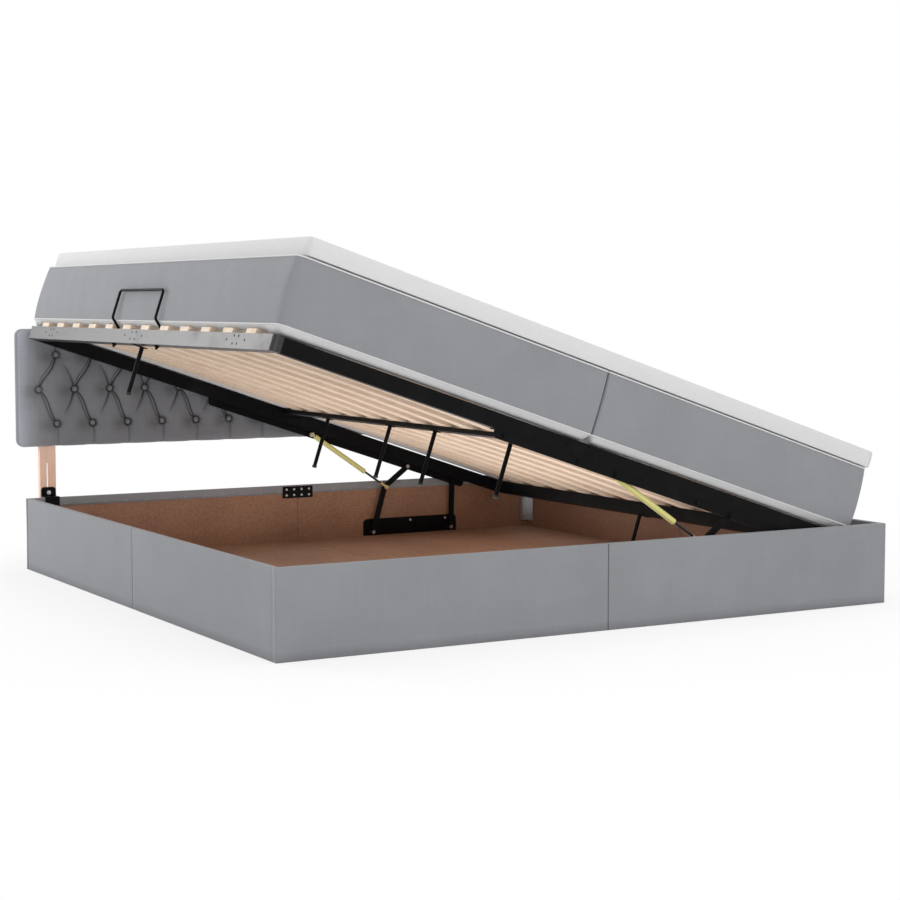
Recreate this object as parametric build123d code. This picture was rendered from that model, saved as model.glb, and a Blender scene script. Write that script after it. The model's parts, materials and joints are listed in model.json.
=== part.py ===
# Side-opening ottoman storage bed: an upholstered box base with an open storage
# space, a tufted headboard on slotted legs, and a sprung slat platform that carries
# two mattresses and a topper and swings up on a pair of linkages with gas struts.
# The bed stands as photographed: the platform is up at its open stop.
#
# Axes: +Z up, +Y towards the headboard, -X towards the side where the bed opens.
# Origin: on the floor, at the centre of the base.
# Lengths are in millimetres and angles in degrees.

import math
import os

from build123d import *

# Base box

base_width = 2030
base_length = 2030
base_height = 243
panel_board = 15
cover_thick = 2.5
wrap_thick = 1.2
wrap_depth = 31
cover_lift = 1
seam_gap = 1.6
lap_gap = 0.4

# Storage floor

batten_height = 28
batten_width = 70
batten_count = 5
floor_board = 12
floor_board_gap = 2
floor_edge_gap = 3

# Joint plates, corner angles and screws of the base

plate_sheet = 2.5
joint_plate_length = 120
joint_plate_height = 42
joint_plate_drop = 4
corner_leg = 38
corner_height = 115
corner_foot = 60
screw_radius = 3
screw_head_radius = 5.5
screw_head_thick = 1.5

# Headboard

headboard_overhang = 13
headboard_height = 400
headboard_lift = 418
headboard_gap = 25
core_thick = 20
pad_crown = 26
pad_base = 10
pad_corner = 20
back_panel = 8
button_columns = 15
button_margin = 68
button_row_pitch = 119
button_row_drop = 5
button_radius = 9
button_height = 5
button_recess_radius = 13
groove_half = 1.5
pillow_shoulder = 6
pillow_top = 15

# Headboard legs and their brackets

post_width = 56
post_thick = 20
post_inset = 73
post_foot = 120
post_reach = 640
headboard_travel = 100
slot_width = 8.6
clamp_rise = 14
clamp_radius = 4
bracket_sheet = 3
bracket_width = 50
bracket_drop = 45
bracket_rise = 30
bracket_corner = 10

# Platform frame and slats

frame_gap = 11.3
tube_height = 43
tube_width = 28
tube_wall = 1.5
tube_corner = 14
beam_width = 28
beam_height = 14
beam_bracket = 2.5
beam_bracket_length = 90
hole_radius = 2.2
hole_group_reach = 750
slat_count = 12
slat_width = 62
slat_thick = 13
slat_bow = 8
slat_meet_gap = 2

# Support legs and lifting handle

leg_radius = 6.5
leg_flange = 26
leg_flange_thick = 2.5
leg_inset = 37
foot_rest_gap = 4.5
foot_radius = 8
foot_height = 8
beam_leg_inner = 150
beam_leg_outer = 606
edge_leg_length = 145
wire_radius = 4
handle_width = 352
handle_rise = 117
handle_foot = 5
handle_kink = 30
handle_stand_off = 15
handle_bend = 12
handle_tail = 6
nut_radius = 7.5
nut_height = 5

# Mattresses and topper

seat_gap = 0.3
mattress_inset = 19
mattress_end_inset = 21
mattress_gap = 2
mattress_shift = 10
mattress_corner = 25
mattress_border = 178
mattress_bulge = 5
mattress_crown = 12
mattress_crown_inset = 70
mattress_wall = 12
mattress_padding = 24
underside_thick = 12.7
underside_inset = 20
topper_inset = 31
topper_thick = 50
topper_shift = 30
topper_corner = 36
topper_edge = 6
topper_wall = 4

# Lift mechanism

lift_tilt = 18.25
lever_swing = 32.5
link_swing = 44
lid_clearance = 3.3
main_pivot_inset = 682
main_pivot_rise = 14
lever_pivot_inset = 430
link_pivot_inset = 225
strut_pivot_inset = 855
lever_pivot_drop = 14
link_pivot_drop = 17
strut_pivot_drop = 13
elbow_along_share = 0.6
elbow_offset = 45.7
rail_length = 1100
rail_end_inset = 175
rail_depth = 25
rail_sheet = 3
rail_flange = 2.5
rail_inset = 1
link_sheet = 4
link_width = 21
link_gap = 1
pin_radius = 4
pin_clearance = 0.08
pin_head_radius = 7
pin_head_thick = 2.5
washer_radius = 12
washer_thick = 1.5
pin_nut_radius = 8
pin_nut_height = 4.5
rail_bolt_radius = 3
rail_bolt_margin = 33
rail_bolt_to_strut = 134
rail_bolt_to_lever = 130
rail_bolt_drop = 11
hinge_plate_height = 62
hinge_plate_margin = 32
strut_side_gap = 3
cylinder_radius = 9
cylinder_length = 258
cylinder_wall = 1.5
strut_rod_radius = 4
piston_travel_share = 0.72
eye_radius = 8
eye_width = 10
rod_end_length = 30
rod_end_gap = 1

# Places worked out from the sizes above

half_x = base_width / 2
half_y = base_length / 2
wall_total = cover_thick + panel_board + wrap_thick
board_face_x = half_x - cover_thick - panel_board
board_face_y = half_y - cover_thick - panel_board
wrap_face_x = half_x - wall_total
wrap_face_y = half_y - wall_total
floor_top = batten_height + floor_board
frame_half_u = wrap_face_x - frame_gap
frame_half_v = wrap_face_y - frame_gap
closed_top = base_height + bracket_sheet + lid_clearance - slat_thick - seat_gap
leg_length = closed_top - floor_top - tube_height - foot_rest_gap
beam_leg_length = leg_length + tube_height - beam_height
main_pivot_x = frame_half_u - main_pivot_inset
main_pivot_z = floor_top + main_pivot_rise
lever_pivot_u = frame_half_u - lever_pivot_inset
link_pivot_u = frame_half_u - link_pivot_inset
strut_pivot_u = frame_half_u - strut_pivot_inset
rail_end = frame_half_u - rail_end_inset
rail_start = rail_end - rail_length
lever_pivot_w = -tube_height - lever_pivot_drop
link_pivot_w = -tube_height - link_pivot_drop
strut_pivot_w = -tube_height - strut_pivot_drop
rail_outer = frame_half_v - rail_inset
rail_inner = rail_outer - rail_sheet
link_outer = rail_inner - link_gap
link_inner = link_outer - link_sheet
strut_line = link_inner - strut_side_gap - cylinder_radius
headboard_width = base_width + 2 * headboard_overhang
button_pitch = (headboard_width - 2 * button_margin) / button_columns
post_x = headboard_width / 2 - post_inset - post_width / 2
post_front = half_y + headboard_gap
clamp_height = base_height + clamp_rise
mattress_width = (base_width - 2 * mattress_inset - mattress_gap) / 2
mattress_length = base_length - 2 * mattress_end_inset
topper_width = base_width - 2 * topper_inset
topper_length = base_length - 2 * topper_inset
mattress_foot = slat_thick + seat_gap
mattress_top = mattress_foot + underside_thick + mattress_border
topper_foot = mattress_top + mattress_crown + seat_gap


def turned(point, centre, angle):
    """The XZ point after a turn about the centre, anticlockwise seen from the foot end."""
    swing = math.radians(angle)
    dx = point[0] - centre[0]
    dz = point[1] - centre[1]
    x = centre[0] + dx * math.cos(swing) - dz * math.sin(swing)
    z = centre[1] + dx * math.sin(swing) + dz * math.cos(swing)
    return (x, z)


def swing_centre(closed, opened, angle):
    """The lower centre about which a turn by the angle takes closed to opened."""
    reach = math.dist(closed, opened)
    rise = reach / 2 / math.tan(math.radians(angle) / 2)
    across = ((closed[0] - opened[0]) / reach, (closed[1] - opened[1]) / reach)
    middle = ((closed[0] + opened[0]) / 2, (closed[1] + opened[1]) / 2)
    return (middle[0] + across[1] * rise, middle[1] - across[0] * rise)


# The linkage at its open stop, in the XZ plane

main_pivot = (main_pivot_x, main_pivot_z)
lever_tip_closed = (lever_pivot_u, closed_top + lever_pivot_w)
lever_tip = turned(lever_tip_closed, main_pivot, lever_swing)
lever_tip_offset = turned((lever_pivot_u, lever_pivot_w), (0, 0), -lift_tilt)
platform_x = lever_tip[0] - lever_tip_offset[0]
platform_z = lever_tip[1] - lever_tip_offset[1]
open_place = Pos(platform_x, 0, platform_z) * Rot(0, lift_tilt, 0)


def opened_point(u, w):
    """The open place, in X and Z, of a point at rest in the level platform."""
    x, z = turned((u, w), (0, 0), -lift_tilt)
    return (platform_x + x, platform_z + z)


link_tip_closed = (link_pivot_u, closed_top + link_pivot_w)
link_tip = opened_point(link_pivot_u, link_pivot_w)
rear_pivot = swing_centre(link_tip_closed, link_tip, link_swing)
strut_top = opened_point(strut_pivot_u, strut_pivot_w)
lever_reach = math.dist(main_pivot, lever_tip)
lever_line = ((lever_tip[0] - main_pivot[0]) / lever_reach, (lever_tip[1] - main_pivot[1]) / lever_reach)
elbow = (
    main_pivot[0] + elbow_along_share * lever_reach * lever_line[0] - elbow_offset * lever_line[1],
    main_pivot[1] + elbow_along_share * lever_reach * lever_line[1] + elbow_offset * lever_line[0],
)
strut_reach = math.dist(strut_top, elbow)
strut_slope = math.degrees(math.atan2(strut_top[1] - elbow[1], elbow[0] - strut_top[0]))


# Small helpers

def block(x0, x1, y0, y1, z0, z1):
    """A box between two corners."""
    size = Box(abs(x1 - x0), abs(y1 - y0), abs(z1 - z0))
    return Pos((x0 + x1) / 2, (y0 + y1) / 2, (z0 + z1) / 2) * size


def rod(start, end, radius):
    """A round bar between two points."""
    line = Vector(*end) - Vector(*start)
    plane = Plane(origin=Vector(*start), z_dir=line)
    bar = Cylinder(radius, line.length, align=(Align.CENTER, Align.CENTER, Align.MIN))
    return plane.location * bar


def bar_face(start, end, width):
    """A flat bar's outline with round ends at two pivots."""
    reach = math.dist(start, end)
    slope = math.degrees(math.atan2(end[1] - start[1], end[0] - start[0]))
    middle = Pos((start[0] + end[0]) / 2, (start[1] + end[1]) / 2, 0)
    return middle * Rot(0, 0, slope) * SlotCenterToCenter(reach, width)


def upright(face, y0, y1):
    """A face drawn in X and Z, made as thick as the stretch from y0 to y1."""
    thick = abs(y1 - y0)
    return Pos(0, max(y0, y1), 0) * Rot(90, 0, 0) * extrude(face, amount=thick)


def ring_loft(levels, x_size, y_size, corner):
    """Rounded rectangles, each drawn in by its inset at its height, joined in order."""
    rings = []
    for height, inset in levels:
        ring = RectangleRounded(x_size - 2 * inset, y_size - 2 * inset, corner - min(inset, corner / 2))
        rings.append(Pos(0, 0, height) * ring)
    return loft(rings, ruled=True)


def save(name, *shapes):
    """Write one node. Several solids stay separate in it."""
    os.makedirs("parts", exist_ok=True)
    solids = []
    for shape in shapes:
        solids.extend(shape.solids())
    node = solids[0] if len(solids) == 1 else Compound(children=solids)
    export_step(node, os.path.join("parts", name + ".step"))


# Base panels: two halves of board, each under its own cover. The foot and head panels
# lap over the ends of the side panels, and their covers go round those ends.

def layer(x1, d0, d1, z0, z1):
    """Half of a panel layer, from the mid seam to x1, between two depths."""
    return block(seam_gap / 2, x1, d0, d1, z0, z1)


def panel_half(half_length, laps):
    """The board and the cover of one half, with its outer face on the XZ plane."""
    board_back = cover_thick + panel_board
    end = half_length if laps else half_length - wall_total - lap_gap
    board_end = end - cover_thick if laps else end
    top = base_height - cover_thick
    board = layer(board_end, cover_thick, board_back, 0, top)
    outside = layer(end, 0, cover_thick, cover_lift, base_height)
    over_top = layer(end, 0, wall_total, top, base_height)
    inside_end = end - wall_total - lap_gap if laps else end
    inside = layer(inside_end, board_back, wall_total, base_height - wrap_depth, base_height)
    cover = outside + over_top + inside
    if laps:
        cover += block(board_end, end, 0, wall_total, cover_lift, base_height)
    top_edges = cover.edges().filter_by(Axis.X).group_by(Axis.Z)[-1]
    cover = fillet(top_edges.sort_by(Axis.Y)[0], cover_thick * 0.8)
    return board, cover


def build_panel(name, half_length, laps, place):
    board, cover = panel_half(half_length, laps)
    other_side = Plane.YZ
    save(name + "_boards", place * board, place * board.mirror(other_side))
    save(name + "_covers", place * cover, place * cover.mirror(other_side))


def build_panels():
    build_panel("foot_panel", half_x, True, Pos(0, -half_y, 0))
    build_panel("head_panel", half_x, True, Pos(0, half_y, 0) * Rot(0, 0, 180))
    build_panel("right_panel", half_y, False, Pos(half_x, 0, 0) * Rot(0, 0, 90))
    build_panel("left_panel", half_y, False, Pos(-half_x, 0, 0) * Rot(0, 0, -90))


# Storage floor: battens on the ground, boards across them

def build_floor():
    reach_x = board_face_x - floor_edge_gap
    reach_y = board_face_y - floor_edge_gap
    pitch = (2 * reach_x - batten_width) / (batten_count - 1)
    battens = []
    for i in range(batten_count):
        x = -reach_x + batten_width / 2 + i * pitch
        if i != batten_count // 2:
            battens.append(block(x - batten_width / 2, x + batten_width / 2, -reach_y, reach_y, 0, batten_height))
    save("side_battens", *battens)
    save("centre_batten", block(-batten_width / 2, batten_width / 2, -reach_y, reach_y, 0, batten_height))
    boards = []
    for i in range(batten_count - 1):
        x0 = -reach_x + batten_width / 2 + i * pitch + floor_board_gap / 2
        x1 = x0 + pitch - floor_board_gap
        if i == 0:
            x0 = -reach_x
        if i == batten_count - 2:
            x1 = reach_x
        boards.append(block(x0, x1, -reach_y, reach_y, batten_height, floor_top))
    save("floor_boards", *boards)


# Steel fittings of the base

def joint_plate():
    """A flat plate behind the mid seam of a wall whose inner face is the XZ plane."""
    top = base_height - joint_plate_drop
    plate = block(-joint_plate_length / 2, joint_plate_length / 2, 0, plate_sheet, top - joint_plate_height, top)
    rows = (top - joint_plate_height / 4, top - joint_plate_height * 3 / 4)
    columns = (-joint_plate_length * 3 / 8, -joint_plate_length / 8, joint_plate_length / 8, joint_plate_length * 3 / 8)
    for z in rows:
        for x in columns:
            plate -= rod((x, -plate_sheet, z), (x, 2 * plate_sheet, z), screw_radius)
    return plate


def corner_angle():
    """An angle bracket in the corner between two walls along +X and +Y from the origin."""
    angle = block(0, corner_leg, 0, plate_sheet, corner_foot, corner_foot + corner_height)
    angle += block(0, plate_sheet, 0, corner_leg, corner_foot, corner_foot + corner_height)
    for share in (0.2, 0.8):
        z = corner_foot + corner_height * share
        middle = (corner_leg + plate_sheet) / 2
        angle -= rod((middle, -plate_sheet, z), (middle, 2 * plate_sheet, z), screw_radius)
        angle -= rod((-plate_sheet, middle, z), (2 * plate_sheet, middle, z), screw_radius)
    return angle


def build_fittings():
    walls = [
        Pos(0, -wrap_face_y, 0),
        Pos(0, wrap_face_y, 0) * Rot(0, 0, 180),
        Pos(-wrap_face_x, 0, 0) * Rot(0, 0, -90),
        Pos(wrap_face_x, 0, 0) * Rot(0, 0, 90),
    ]
    save("joint_plates", *[wall * joint_plate() for wall in walls])
    corners = []
    for sx, sy, turn in ((-1, -1, 0), (1, -1, 90), (1, 1, 180), (-1, 1, 270)):
        corners.append(Pos(sx * board_face_x, sy * board_face_y, 0) * Rot(0, 0, turn) * corner_angle())
    save("corner_angles", *corners)


# Hinge plates on the foot and head walls, each with two fixed pins

def hinge_plate(side):
    x0 = main_pivot[0] - hinge_plate_margin
    x1 = rear_pivot[0] + hinge_plate_margin
    z0 = floor_top + pin_clearance
    z1 = z0 + hinge_plate_height
    outer = side * board_face_y
    inner = side * (board_face_y - rail_sheet)
    plate = block(x0, x1, outer, inner, z0, z1)
    corners = plate.edges().filter_by(Axis.Y).group_by(Axis.Z)[-1]
    plate = fillet(corners, hinge_plate_margin / 2)
    for share in (0.12, 0.5, 0.88):
        x = x0 + (x1 - x0) * share
        z = z1 - hinge_plate_height / 5
        plate -= rod((x, outer, z), (x, inner - side * rail_sheet, z), screw_radius)
    return plate


def fixed_pin(side, pivot):
    """A shouldered pin from the hinge plate through a link, with a head inside it."""
    x, z = pivot
    root = side * (board_face_y - rail_sheet)
    shoulder = side * (link_outer + pin_clearance)
    head = side * (link_inner - pin_clearance)
    pin = rod((x, root, z), (x, shoulder, z), pin_head_radius)
    pin += rod((x, root, z), (x, head, z), pin_radius)
    pin += rod((x, head, z), (x, head - side * pin_head_thick, z), pin_head_radius)
    return pin


def build_hinge_plates():
    pins = []
    for side, end in ((-1, "foot"), (1, "head")):
        save("hinge_plate_" + end, hinge_plate(side))
        pins.append(fixed_pin(side, main_pivot))
        pins.append(fixed_pin(side, rear_pivot))
    save("hinge_pins", *pins)


# Cranked levers, rear links and gas struts

def drilled(plate, side, pivots):
    for x, z in pivots:
        hole = rod((x, side * (link_inner - link_sheet), z), (x, side * (link_outer + link_sheet), z), pin_radius + pin_clearance)
        plate = plate - hole
    return plate


def lever(side):
    """A flat bar bent at the elbow, from the fixed pin up to the platform rail."""
    outline = bar_face(main_pivot, elbow, link_width) + bar_face(elbow, lever_tip, link_width)
    plate = upright(outline, side * link_inner, side * link_outer)
    plate = drilled(plate, side, (main_pivot, lever_tip))
    stub_end = strut_line + eye_width / 2 + rod_end_gap
    boss = rod((elbow[0], side * link_inner, elbow[1]), (elbow[0], side * stub_end, elbow[1]), pin_radius)
    return plate + boss


def rear_link(side):
    plate = upright(bar_face(rear_pivot, link_tip, link_width), side * link_inner, side * link_outer)
    plate = drilled(plate, side, (rear_pivot,))
    x, z = link_tip
    head = rod((x, side * link_inner, z), (x, side * (link_inner - pin_head_thick), z), pin_head_radius)
    return plate + head


def strut_cylinder():
    """The closed tube with its eye at the origin and the rod's mouth along +X."""
    start = eye_radius + cylinder_radius / 2
    tube = rod((start, 0, 0), (cylinder_length, 0, 0), cylinder_radius)
    mouth_wall = 3 * cylinder_wall
    bore = rod((start + mouth_wall, 0, 0), (cylinder_length - mouth_wall, 0, 0), cylinder_radius - cylinder_wall)
    mouth = rod((cylinder_length - 2 * mouth_wall, 0, 0), (cylinder_length + mouth_wall, 0, 0), strut_rod_radius + pin_clearance)
    neck = rod((eye_radius / 2, 0, 0), (start + cylinder_wall, 0, 0), eye_width * 0.4)
    eye = rod((0, -eye_width / 2, 0), (0, eye_width / 2, 0), eye_radius)
    hole = rod((0, -eye_width, 0), (0, eye_width, 0), pin_radius + pin_clearance)
    return tube - bore - mouth + neck + eye - hole


def strut_rod():
    """The piston rod, from inside the tube to the rod end."""
    piston_at = cylinder_length * piston_travel_share
    piston = rod((piston_at, 0, 0), (piston_at + 2 * strut_rod_radius, 0, 0), cylinder_radius - cylinder_wall - pin_clearance)
    shaft = rod((piston_at, 0, 0), (strut_reach - rod_end_length, 0, 0), strut_rod_radius)
    return piston + shaft


def rod_end():
    """The brass eye screwed on the rod, with its bolt."""
    socket = rod((strut_reach - rod_end_length, 0, 0), (strut_reach - eye_radius / 2, 0, 0), strut_rod_radius * 1.5)
    eye = rod((strut_reach, -eye_width / 2, 0), (strut_reach, eye_width / 2, 0), eye_radius)
    return socket + eye


def build_links():
    for side, end in ((-1, "foot"), (1, "head")):
        save("lever_" + end, lever(side))
        save("rear_link_" + end, rear_link(side))
        place = Pos(strut_top[0], side * strut_line, strut_top[1]) * Rot(0, strut_slope, 0)
        save("strut_cylinder_" + end, place * strut_cylinder())
        save("strut_rod_" + end, place * strut_rod())
        save("rod_end_" + end, place * rod_end())


# Platform: all of it is drawn level, with the top of the tubes at zero, then opened

def hole_group(reach, across):
    """Six screw holes in a stretched hexagon: places along the tube and heights."""
    rows = (-tube_height * 0.2, -tube_height * 0.45, -tube_height * 0.7)
    places = [(reach - across / 4, rows[0]), (reach + across / 4, rows[0])]
    places += [(reach - across, rows[1]), (reach + across, rows[1])]
    places += [(reach - across / 4, rows[2]), (reach + across / 4, rows[2])]
    return places


def box_tube(half_length, closed_ends):
    """A hollow tube along Y with its outer face on X = 0 and its inner face at +X."""
    tube = block(0, tube_width, -half_length, half_length, -tube_height, 0)
    if closed_ends:
        corners = tube.edges().filter_by(Axis.Z).group_by(Axis.X)[0]
        tube = fillet(corners, tube_corner)
    end = half_length - tube_width if closed_ends else half_length + tube_wall
    bore = block(tube_wall, tube_width - tube_wall, -end, end, tube_wall - tube_height, -tube_wall)
    return tube - bore


def drilled_tube(tube, groups):
    for reach, across in groups:
        for y, z in hole_group(reach, across):
            tube = tube - rod((-tube_wall, y, z), (2 * tube_wall, y, z), hole_radius)
    return tube


def build_frame():
    pitch_hole = beam_bracket_length * 0.64
    side_groups = [(-hole_group_reach, pitch_hole), (0, pitch_hole * 1.2), (hole_group_reach, pitch_hole)]
    side_tube = drilled_tube(box_tube(frame_half_v, True), side_groups)
    handle_holes = []
    for v in (-handle_width / 2, handle_width / 2):
        u = tube_width / 2
        handle_holes.append(rod((u, v, -2 * tube_height), (u, v, tube_height), wire_radius + seat_gap))
    left = Pos(-frame_half_u, 0, 0) * (side_tube - handle_holes[0] - handle_holes[1])
    right = Pos(frame_half_u, 0, 0) * Rot(0, 0, 180) * side_tube
    save("frame_tube_left", open_place * left)
    save("frame_tube_right", open_place * right)
    cross_tube = drilled_tube(box_tube(frame_half_u - tube_width, False), [(0, pitch_hole)])
    save("frame_tube_foot", open_place * Pos(0, -frame_half_v, 0) * Rot(0, 0, 90) * cross_tube)
    save("frame_tube_head", open_place * Pos(0, frame_half_v, 0) * Rot(0, 0, -90) * cross_tube)
    beam_reach = frame_half_v - tube_width - beam_bracket
    beam = block(-beam_width / 2, beam_width / 2, -beam_reach, beam_reach, -beam_height, 0)
    inside = beam_width / 2 - tube_wall
    beam -= block(-inside, inside, -2 * beam_reach, 2 * beam_reach, tube_wall - beam_height, -tube_wall)
    save("centre_beam", open_place * beam)
    save("beam_brackets", open_place * beam_end_bracket(), open_place * beam_end_bracket().mirror(Plane.XZ))


def beam_end_bracket():
    """A folded plate that holds the centre beam's foot end to the tube."""
    outer = frame_half_v - tube_width
    half = beam_bracket_length / 2
    plate = block(-half, half, -outer, beam_bracket - outer, -tube_height * 0.85, 0)
    shelf_y = beam_bracket - outer + beam_bracket_length / 2
    shelf = block(-beam_width / 2, beam_width / 2, -outer, shelf_y, -beam_height - beam_bracket, -beam_height)
    return plate + shelf


def slat(u0, u1, v):
    """One bowed slat of even thickness."""
    middle = (u0 + u1) / 2
    under = ThreePointArc((u0, 0), (middle, slat_bow), (u1, 0))
    over = ThreePointArc((u1, slat_thick), (middle, slat_thick + slat_bow), (u0, slat_thick))
    outline = under + Line((u1, 0), (u1, slat_thick)) + over + Line((u0, slat_thick), (u0, 0))
    return upright(make_face(outline), v - slat_width / 2, v + slat_width / 2)


def build_slats():
    pitch = 2 * frame_half_v / (slat_count + 1)
    rows = [(i - (slat_count - 1) / 2) * pitch for i in range(slat_count)]
    inner = slat_meet_gap / 2
    save("slats_left", *[open_place * slat(-frame_half_u, -inner, v) for v in rows])
    save("slats_right", *[open_place * slat(inner, frame_half_u, v) for v in rows])


def support_leg(u, v, top, length):
    """A round leg under a flange that is screwed to the frame, and its plastic foot."""
    foot_top = top - length + foot_height
    leg = rod((u, v, top), (u, v, foot_top), leg_radius)
    half = leg_flange / 2
    reach = leg_inset - tube_wall
    u0 = u - (reach if u < 0 else half)
    u1 = u + (reach if u > 0 else half)
    leg += block(u0, u1, v - half, v + half, top - leg_flange_thick, top)
    foot = rod((u, v, foot_top), (u, v, foot_top - foot_height), foot_radius)
    rim = foot.edges().group_by(Axis.Z)[0]
    return leg, fillet(rim, foot_height / 3)


def build_legs():
    edge_line = frame_half_u - leg_inset
    places = [(-edge_line, 0, -tube_height, leg_length)]
    places.append((edge_line, 0, -tube_height, edge_leg_length))
    for v in (-beam_leg_outer, -beam_leg_inner, beam_leg_inner, beam_leg_outer):
        places.append((0, v, -beam_height, beam_leg_length))
    legs = []
    feet = []
    for place in places:
        leg, foot = support_leg(*place)
        legs.append(open_place * leg)
        feet.append(open_place * foot)
    save("support_legs", *legs)
    save("support_feet", *feet)


def build_handle():
    """A bent wire that passes through the left tube and stands outside the mattress."""
    inside = -frame_half_u + tube_width / 2
    outside = -frame_half_u - handle_stand_off
    half = handle_width / 2
    low = -tube_height - nut_height - handle_tail
    points = [
        (inside, -half, low),
        (inside, -half, handle_foot),
        (outside, -half, handle_kink),
        (outside, -half, handle_rise),
        (outside, half, handle_rise),
        (outside, half, handle_kink),
        (inside, half, handle_foot),
        (inside, half, low),
    ]
    path = FilletPolyline(*points, radius=handle_bend)
    start = Plane(origin=Vector(*points[0]), z_dir=Vector(0, 0, 1))
    wire = sweep(start * Circle(wire_radius), path=path)
    save("lift_handle", open_place * wire)
    nuts = []
    for v in (-half, half):
        nut = extrude(RegularPolygon(nut_radius, 6), amount=nut_height)
        nut -= Cylinder(wire_radius, 4 * nut_height)
        nuts.append(open_place * Pos(inside, v, -tube_height - nut_height) * nut)
    save("handle_nuts", *nuts)


# Mechanism rails under the foot and head tubes, with the moving pins

def mechanism_rail(side):
    """An angle: a flange under the tube and an upright that carries the pins."""
    deep = -tube_height - rail_depth
    tube_inner = frame_half_v - tube_width
    flange = block(rail_start, rail_end, side * tube_inner, side * rail_outer, -tube_height, -tube_height - rail_flange)
    wall = block(rail_start, rail_end, side * rail_inner, side * rail_outer, deep, -tube_height)
    corners = wall.edges().filter_by(Axis.Y).group_by(Axis.Z)[0]
    wall = fillet(corners, rail_depth / 2)
    return wall + flange


def moving_pin(side, u, w, inner):
    """A pin fixed in the rail's upright: a head inside what turns on it, a nut outside."""
    root = side * rail_inner
    head = side * (inner - pin_clearance)
    pin = rod((u, root, w), (u, head, w), pin_radius)
    pin += rod((u, head, w), (u, head - side * pin_head_thick, w), pin_head_radius)
    return pin


def outside_nut(side, u, w, radius, height):
    """A washer and a hexagon nut on the rail's outer face."""
    face = side * rail_outer
    seat = face + side * washer_thick
    washer = rod((u, face, w), (u, seat, w), radius * washer_radius / pin_nut_radius)
    return washer + upright(Pos(u, w) * RegularPolygon(radius, 6), seat, seat + side * height)


def rail_bolt(side, u):
    """A small bolt through the rail's upright, with a nut inside."""
    w = -tube_height - rail_bolt_drop
    inner = side * rail_inner
    nut_end = inner - side * link_gap * 0.8
    shank = rod((u, side * rail_outer, w), (u, nut_end, w), rail_bolt_radius)
    return shank + outside_nut(side, u, w, rail_bolt_radius * 1.8, rail_bolt_radius)


def build_rails():
    pins = []
    nuts = []
    bolts = []
    for side, end in ((-1, "foot"), (1, "head")):
        rail = mechanism_rail(side)
        bolt_places = (rail_start + rail_bolt_margin, strut_pivot_u - rail_bolt_to_strut, lever_pivot_u - rail_bolt_to_lever)
        for u in bolt_places:
            bolt = rail_bolt(side, u)
            rail = rail - bolt
            bolts.append(open_place * bolt)
        save("rail_" + end, open_place * rail)
        pins.append(open_place * moving_pin(side, lever_pivot_u, lever_pivot_w, link_inner))
        pins.append(open_place * moving_pin(side, strut_pivot_u, strut_pivot_w, strut_line - eye_width / 2))
        pivots = ((lever_pivot_u, lever_pivot_w), (link_pivot_u, link_pivot_w), (strut_pivot_u, strut_pivot_w))
        for u, w in pivots:
            nuts.append(open_place * outside_nut(side, u, w, pin_nut_radius, pin_nut_height))
    save("rail_pins", *pins)
    save("rail_nuts", *nuts)
    save("rail_bolts", *bolts)


# Mattresses and topper

def mattress_body():
    """The velvet border, swelling a little, and the crowned padding over the spring space."""
    foot = mattress_foot + underside_thick
    levels = [
        (foot, mattress_bulge),
        (foot + mattress_border * 0.3, mattress_bulge * 0.1),
        (foot + mattress_border * 0.6, 0),
        (foot + mattress_border * 0.95, mattress_bulge),
        (mattress_top, mattress_bulge * 3),
        (mattress_top + mattress_crown, mattress_crown_inset),
    ]
    body = ring_loft(levels, mattress_width, mattress_length, mattress_corner)
    wall = mattress_bulge + mattress_wall
    core_width = mattress_width - 2 * wall
    core_length = mattress_length - 2 * wall
    core = extrude(RectangleRounded(core_width, core_length, mattress_corner - wall), amount=mattress_border - mattress_padding)
    return body - Pos(0, 0, foot) * core


def mattress_underside(centre, slat_from, slat_to):
    """The white underside, rounded at its edge and hollowed where the slats bow up."""
    levels = [
        (mattress_foot, underside_inset),
        (mattress_foot + underside_thick * 0.4, underside_inset * 0.5),
        (mattress_foot + underside_thick, mattress_bulge),
    ]
    pad = Pos(centre, 0, 0) * ring_loft(levels, mattress_width, mattress_length, mattress_corner)
    middle = (slat_from + slat_to) / 2
    arc = ThreePointArc((slat_from, mattress_foot), (middle, mattress_foot + slat_bow), (slat_to, mattress_foot))
    hollow = make_face(arc + Line((slat_to, mattress_foot), (slat_from, mattress_foot)))
    return pad - upright(hollow, -mattress_length, mattress_length)


def build_mattresses():
    offset = (mattress_width + mattress_gap) / 2
    inner = slat_meet_gap / 2
    for name, centre, slat_from, slat_to in (
        ("mattress_left", mattress_shift - offset, -frame_half_u, -inner),
        ("mattress_right", mattress_shift + offset, inner, frame_half_u),
    ):
        save(name, open_place * Pos(centre, 0, 0) * mattress_body())
        save(name + "_underside", open_place * mattress_underside(centre, slat_from, slat_to))
    levels = [
        (topper_foot, topper_edge * 0.6),
        (topper_foot + topper_thick * 0.2, 0),
        (topper_foot + topper_thick * 0.75, 0),
        (topper_foot + topper_thick, topper_edge),
    ]
    topper = ring_loft(levels, topper_width, topper_length, topper_corner)
    wall = topper_edge + topper_wall
    filling = RectangleRounded(topper_width - 2 * wall, topper_length - 2 * wall, topper_corner - wall)
    filling = Pos(0, 0, topper_foot + topper_wall) * extrude(filling, amount=topper_thick - 2 * topper_wall)
    save("topper", open_place * Pos(topper_shift, 0, 0) * (topper - filling))


# Headboard: tufted pad on a core board that holds the legs

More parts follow.
